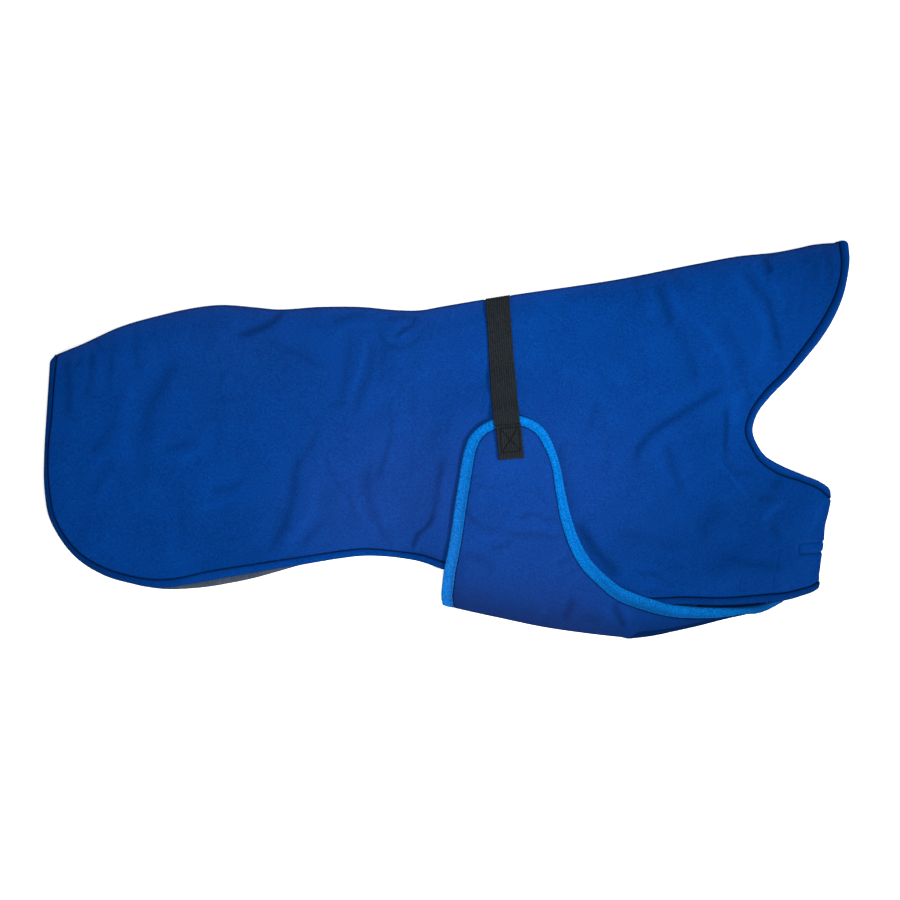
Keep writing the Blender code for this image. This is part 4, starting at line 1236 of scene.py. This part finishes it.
def beltPiece():
    # ribbed elastic from its upper sewn end, over the back, down to its under sewn end
    onAll = heap.cover(belt["reach"])
    line = curveThrough(beltLine, belt["step"])
    across = -inwardOf(line)
    fromEnd = np.cumsum(np.linalg.norm(np.diff(line[::-1], axis=0, prepend=line[-1:]), axis=1))[::-1]
    count = belt["ribs"] * 4 + 1
    share = np.linspace(-1, 1, count)
    waves = np.abs(np.sin(np.linspace(0, belt["ribs"] * np.pi, count)))
    rib = belt["ribDepth"] * (1 - waves ** belt["ribPower"])
    selvedge = belt["selvedge"] * np.exp(-((1 - np.abs(share)) / belt["selvedgeWide"]) ** 2)
    # painted shade in the grooves between its ribs
    ribDark = belt["grooveDark"] * (rib / belt["ribDepth"]) ** 2

    def turnedEnd(up):
        return ease((belt["doubledFrom"] - up) / belt["turnRun"])

    def rowAt(place, beside):
        run = belt["narrow"] + belt["wider"] * easeBetween(place[1], *belt["widens"])
        half = belt["wide"] / 2 * (run + (1 - run) * turnedEnd(place[1]))
        return place + np.outer(share * half + belt["shift"] * turnedEnd(place[1]), beside)

    def tallAt(place):
        return belt["thick"] + (belt["doubled"] - belt["thick"]) * turnedEnd(place[1])

    def boxAt(reach):
        # how deep the stitches of the sewn box and its cross lie at this distance from the end
        low, high = belt["box"]
        u = share * belt["wide"] / 2
        near = np.full(count, min(abs(reach - low), abs(reach - high))) + 20 * (np.abs(u) > belt["boxHalf"])
        if low <= reach <= high:
            slant = belt["boxHalf"] * (2 * (reach - low) / (high - low) - 1)
            squeeze = np.cos(np.arctan2(2 * belt["boxHalf"], high - low))
            for gap in (np.abs(u - slant) * squeeze, np.abs(u + slant) * squeeze,
                        np.abs(np.abs(u) - belt["boxHalf"])):
                near = np.minimum(near, gap)
        return np.exp(-(near / belt["boxPressWide"]) ** 2)

    rings, dark = [], []
    for place, beside, reach in zip(line[::-1], across[::-1], fromEnd[::-1]):    # from its end to the back
        row, pressed = rowAt(place, beside), boxAt(reach)
        low = onAll(row)
        low = np.maximum(low, low.max() - belt["stiff"])
        ended = belt["endRound"] * (1 - ease(reach / belt["endRoundWide"]))
        tall = tallAt(place) - belt["boxPress"] * pressed
        top = low + tall - np.minimum(rib + selvedge, belt["deepest"]) - ended
        rings.append(np.vstack([np.column_stack([row, low]), np.column_stack([row, top])[::-1]]))
        # and painted shade along the stitches of its sewn box
        dark.append(np.concatenate([ribDark, np.maximum(ribDark, pressed)[::-1]]))
    first = rings[-1][:count]
    back = backLine(3.0)[::-1]
    edge = np.interp(first[:, 0], back[:, 0], back[:, 1])
    high, low = first[:, 2].copy(), np.full(count, belt["thick"])
    for angle in np.radians(np.arange(80, -81, -16)):            # round the back seam
        middle, half = (high + low) / 2, (high - low) / 2
        stand = edge + belt["backGap"] + belt["backBulge"] * np.cos(angle)
        inner = np.column_stack([first[:, 0], stand, middle + half * np.sin(angle)])
        outward = np.array([0, np.cos(angle), np.sin(angle)])
        outer = inner + outward * (belt["thick"] - rib - selvedge)[:, None]
        rings.append(np.vstack([inner, outer[::-1]]))
        dark.append(np.concatenate([ribDark, ribDark]))
    for place, beside in zip(line, across):                      # the under run, on the floor
        row = rowAt(place, beside)
        top, bottom = np.full(count, tallAt(place)), rib + selvedge
        rings.append(np.vstack([np.column_stack([row, top]), np.column_stack([row, bottom])[::-1]]))
        dark.append(np.concatenate([ribDark, ribDark]))
    return bridgeRings("beltStrap", np.array(rings), (elasticWebbing,),
                       paintedShading=np.concatenate(dark))


beltStrap = replaceNode(beltPiece(), "belt")


def sewThread(name, lines, onto, finish):
    # stitches along each line, short lengths of thread that dip into the cloth at both ends
    verts, faces = [], []
    for piece in onto:
        base = len(verts)
        verts.extend(vert.co * 1000 for vert in piece.data.vertices)
        faces.extend([base + i for i in face.vertices] for face in piece.data.polygons)
    surface = BVHTree.FromPolygons(verts, faces)
    radius, sides = stitching["thread"] / 2, stitching["sides"]
    rings = list(zip(stitching["swell"], stitching["rise"]))
    points, quads = [], []
    for line in lines:
        path = curveThrough(line, 0.3)
        lengths = np.concatenate([[0.0], np.cumsum(np.linalg.norm(np.diff(path[:, :2], axis=0), axis=1))])
        pitch = stitching["length"] + stitching["gap"]
        for start in np.arange(stitching["gap"] / 2, lengths[-1] - stitching["length"], pitch):
            spots = start + np.linspace(0, stitching["length"], len(rings))
            middle = np.column_stack([np.interp(spots, lengths, path[:, k]) for k in (0, 1)])
            hits = [surface.ray_cast(Vector((x, y, 60.0)), Vector((0, 0, -1)))[0] for x, y in middle]
            if None in hits:           # past the edge of the cloth
                continue
            ahead = middle[-1] - middle[0]
            across = np.array([-ahead[1], ahead[0]]) / np.linalg.norm(ahead)
            for place, hit, (swell, rise) in zip(middle, hits, rings):
                for angle in np.arange(sides) * 2 * np.pi / sides:
                    points.append((*(place + across * np.cos(angle) * radius * swell),
                                   hit.z + radius * (rise + swell * np.sin(angle))))
            first = len(points) - sides * len(rings)
            for k in range(len(rings) - 1):
                for j in range(sides):
                    a, b = first + k * sides + j, first + k * sides + (j + 1) % sides
                    quads.append((a, b, b + sides, a + sides))
            quads.append(tuple(range(first, first + sides))[::-1])
            quads.append(tuple(range(len(points) - sides, len(points))))
    return addPiece(name, points, quads, (finish,))


def boxLines():
    # the sewn box on the belt's turned end and its cross, as places
    line = curveThrough(beltLine, 1.0)[::-1]
    across = inwardOf(line)
    fromEnd = np.concatenate([[0.0], np.cumsum(np.linalg.norm(np.diff(line, axis=0), axis=1))])

    def place(beside, reach):
        spot = np.array([np.interp(reach, fromEnd, line[:, k]) for k in (0, 1)])
        out = np.array([np.interp(reach, fromEnd, across[:, k]) for k in (0, 1)])
        return tuple(spot + out * beside - out * belt["shift"])

    half, (low, high) = belt["boxHalf"], belt["box"]
    corners = [place(-half, low), place(half, low), place(half, high), place(-half, high)]
    cross = [(corners[0], corners[2]), (corners[1], corners[3])]
    return [(corners[k], corners[(k + 1) % 4]) for k in range(4)] + cross


print("sewing the stitches")
stitchPath = upperHalf["path"][:, :2] + upperHalf["inner"] * stitchIn
hemRun = upperMade["hemGroove"][:, :2]
shownFrom, shownTo = stitching["hemRun"]
hemRun = hemRun[(hemRun[:, 0] > shownFrom) & (hemRun[:, 0] < shownTo)]
sewThread("beltStitches", boxLines(), [beltStrap], blackThread)
sewThread("bindingStitches", [stitchPath[::3]], [flapBindingUpper], paleThread)
sewThread("chestStitches", [line for line, _ in chestBar + flapEndLines], upperSide, blueThread)
sewThread("hemStitches", [hemRun[::3]], upperSide, blueThread)


paperLook = {                      # matt uncoated paper: nearly white, with a faint slow grain
    "dark": "#f2f2f2", "light": "#f7f7f7", "grain": 40.0, "roughness": 0.9, "shine": 0.2,
}
stage = {
    "floorSize": 14.0,
    "sky": 1.05,                   # a pale room all round
    "lights": {
        "window": {"power": 6.2, "place": (2.65, -1.95, 2.4), "aim": (-0.03, 0.10, 0.0),
                   "size": 1.0, "spread": 21.0},
        "overhead": {"power": 1.3, "place": (0.0, -0.03, 2.1), "aim": (0.06, 0.0, 0.0),
                     "size": 0.8, "spread": 30.0},
    },
}

mesh = bpy.data.meshes.new("floor")
half = stage["floorSize"] / 2
mesh.from_pydata([(-half, -half, 0), (half, -half, 0), (half, half, 0), (-half, half, 0)], [], [(0, 1, 2, 3)])
floor = bpy.data.objects.new("floor", mesh)
bpy.context.scene.collection.objects.link(floor)
paper, tree, shader, place = newFinish("mattPaper", {
    "Roughness": paperLook["roughness"], "Specular IOR Level": paperLook["shine"],
})
grain = addNode(tree, "TexNoise", {"Scale": perMetre(paperLook["grain"]), "Detail": 3.0},
                Vector=(place, "Object"))
ends = ((0.0, linear(paperLook["dark"])), (1.0, linear(paperLook["light"])))
tone = addNode(tree, "ValToRGB", {"ramp": ends}, Fac=(grain, "Fac"))
tree.links.new(tone.outputs["Color"], shader.inputs["Base Color"])
mesh.materials.append(paper)


def addLight(name, power, place, aim, size, spread):
    data = bpy.data.lights.new(name, "AREA")
    data.shape, data.energy, data.size, data.spread = "DISK", power, size, np.radians(spread)
    lamp = bpy.data.objects.new(name, data)
    lamp.location = place
    lamp.rotation_euler = (Vector(aim) - Vector(place)).to_track_quat("-Z", "Y").to_euler()
    bpy.context.scene.collection.objects.link(lamp)


for name, lamp in stage["lights"].items():
    addLight(name, **lamp)
world = bpy.data.worlds.new("paleRoom")
bpy.context.scene.world = world
world.use_nodes = True
sky = world.node_tree.nodes["Background"]
sky.inputs["Color"].default_value = (1, 1, 1, 1)
sky.inputs["Strength"].default_value = stage["sky"]
bpy.context.scene.view_settings.view_transform = "Standard"

view = {                           # straight down on the coat
    "lens": 50.0, "sensor": 36.0,
    "shows": 0.936,                # metres across the picture at the centre's height
    "centre": (0.0036, -0.0109, 0.008),
}
camera = bpy.data.cameras.new("camera")
camera.lens, camera.sensor_width = view["lens"], view["sensor"]
camera.clip_start, camera.clip_end = 0.01, 50
eye = bpy.data.objects.new("camera", camera)
eye.location = Vector(view["centre"]) + Vector((0, 0, view["shows"] * view["lens"] / view["sensor"]))
bpy.context.scene.collection.objects.link(eye)
bpy.context.scene.camera = eye
print("floor, lights and camera set")
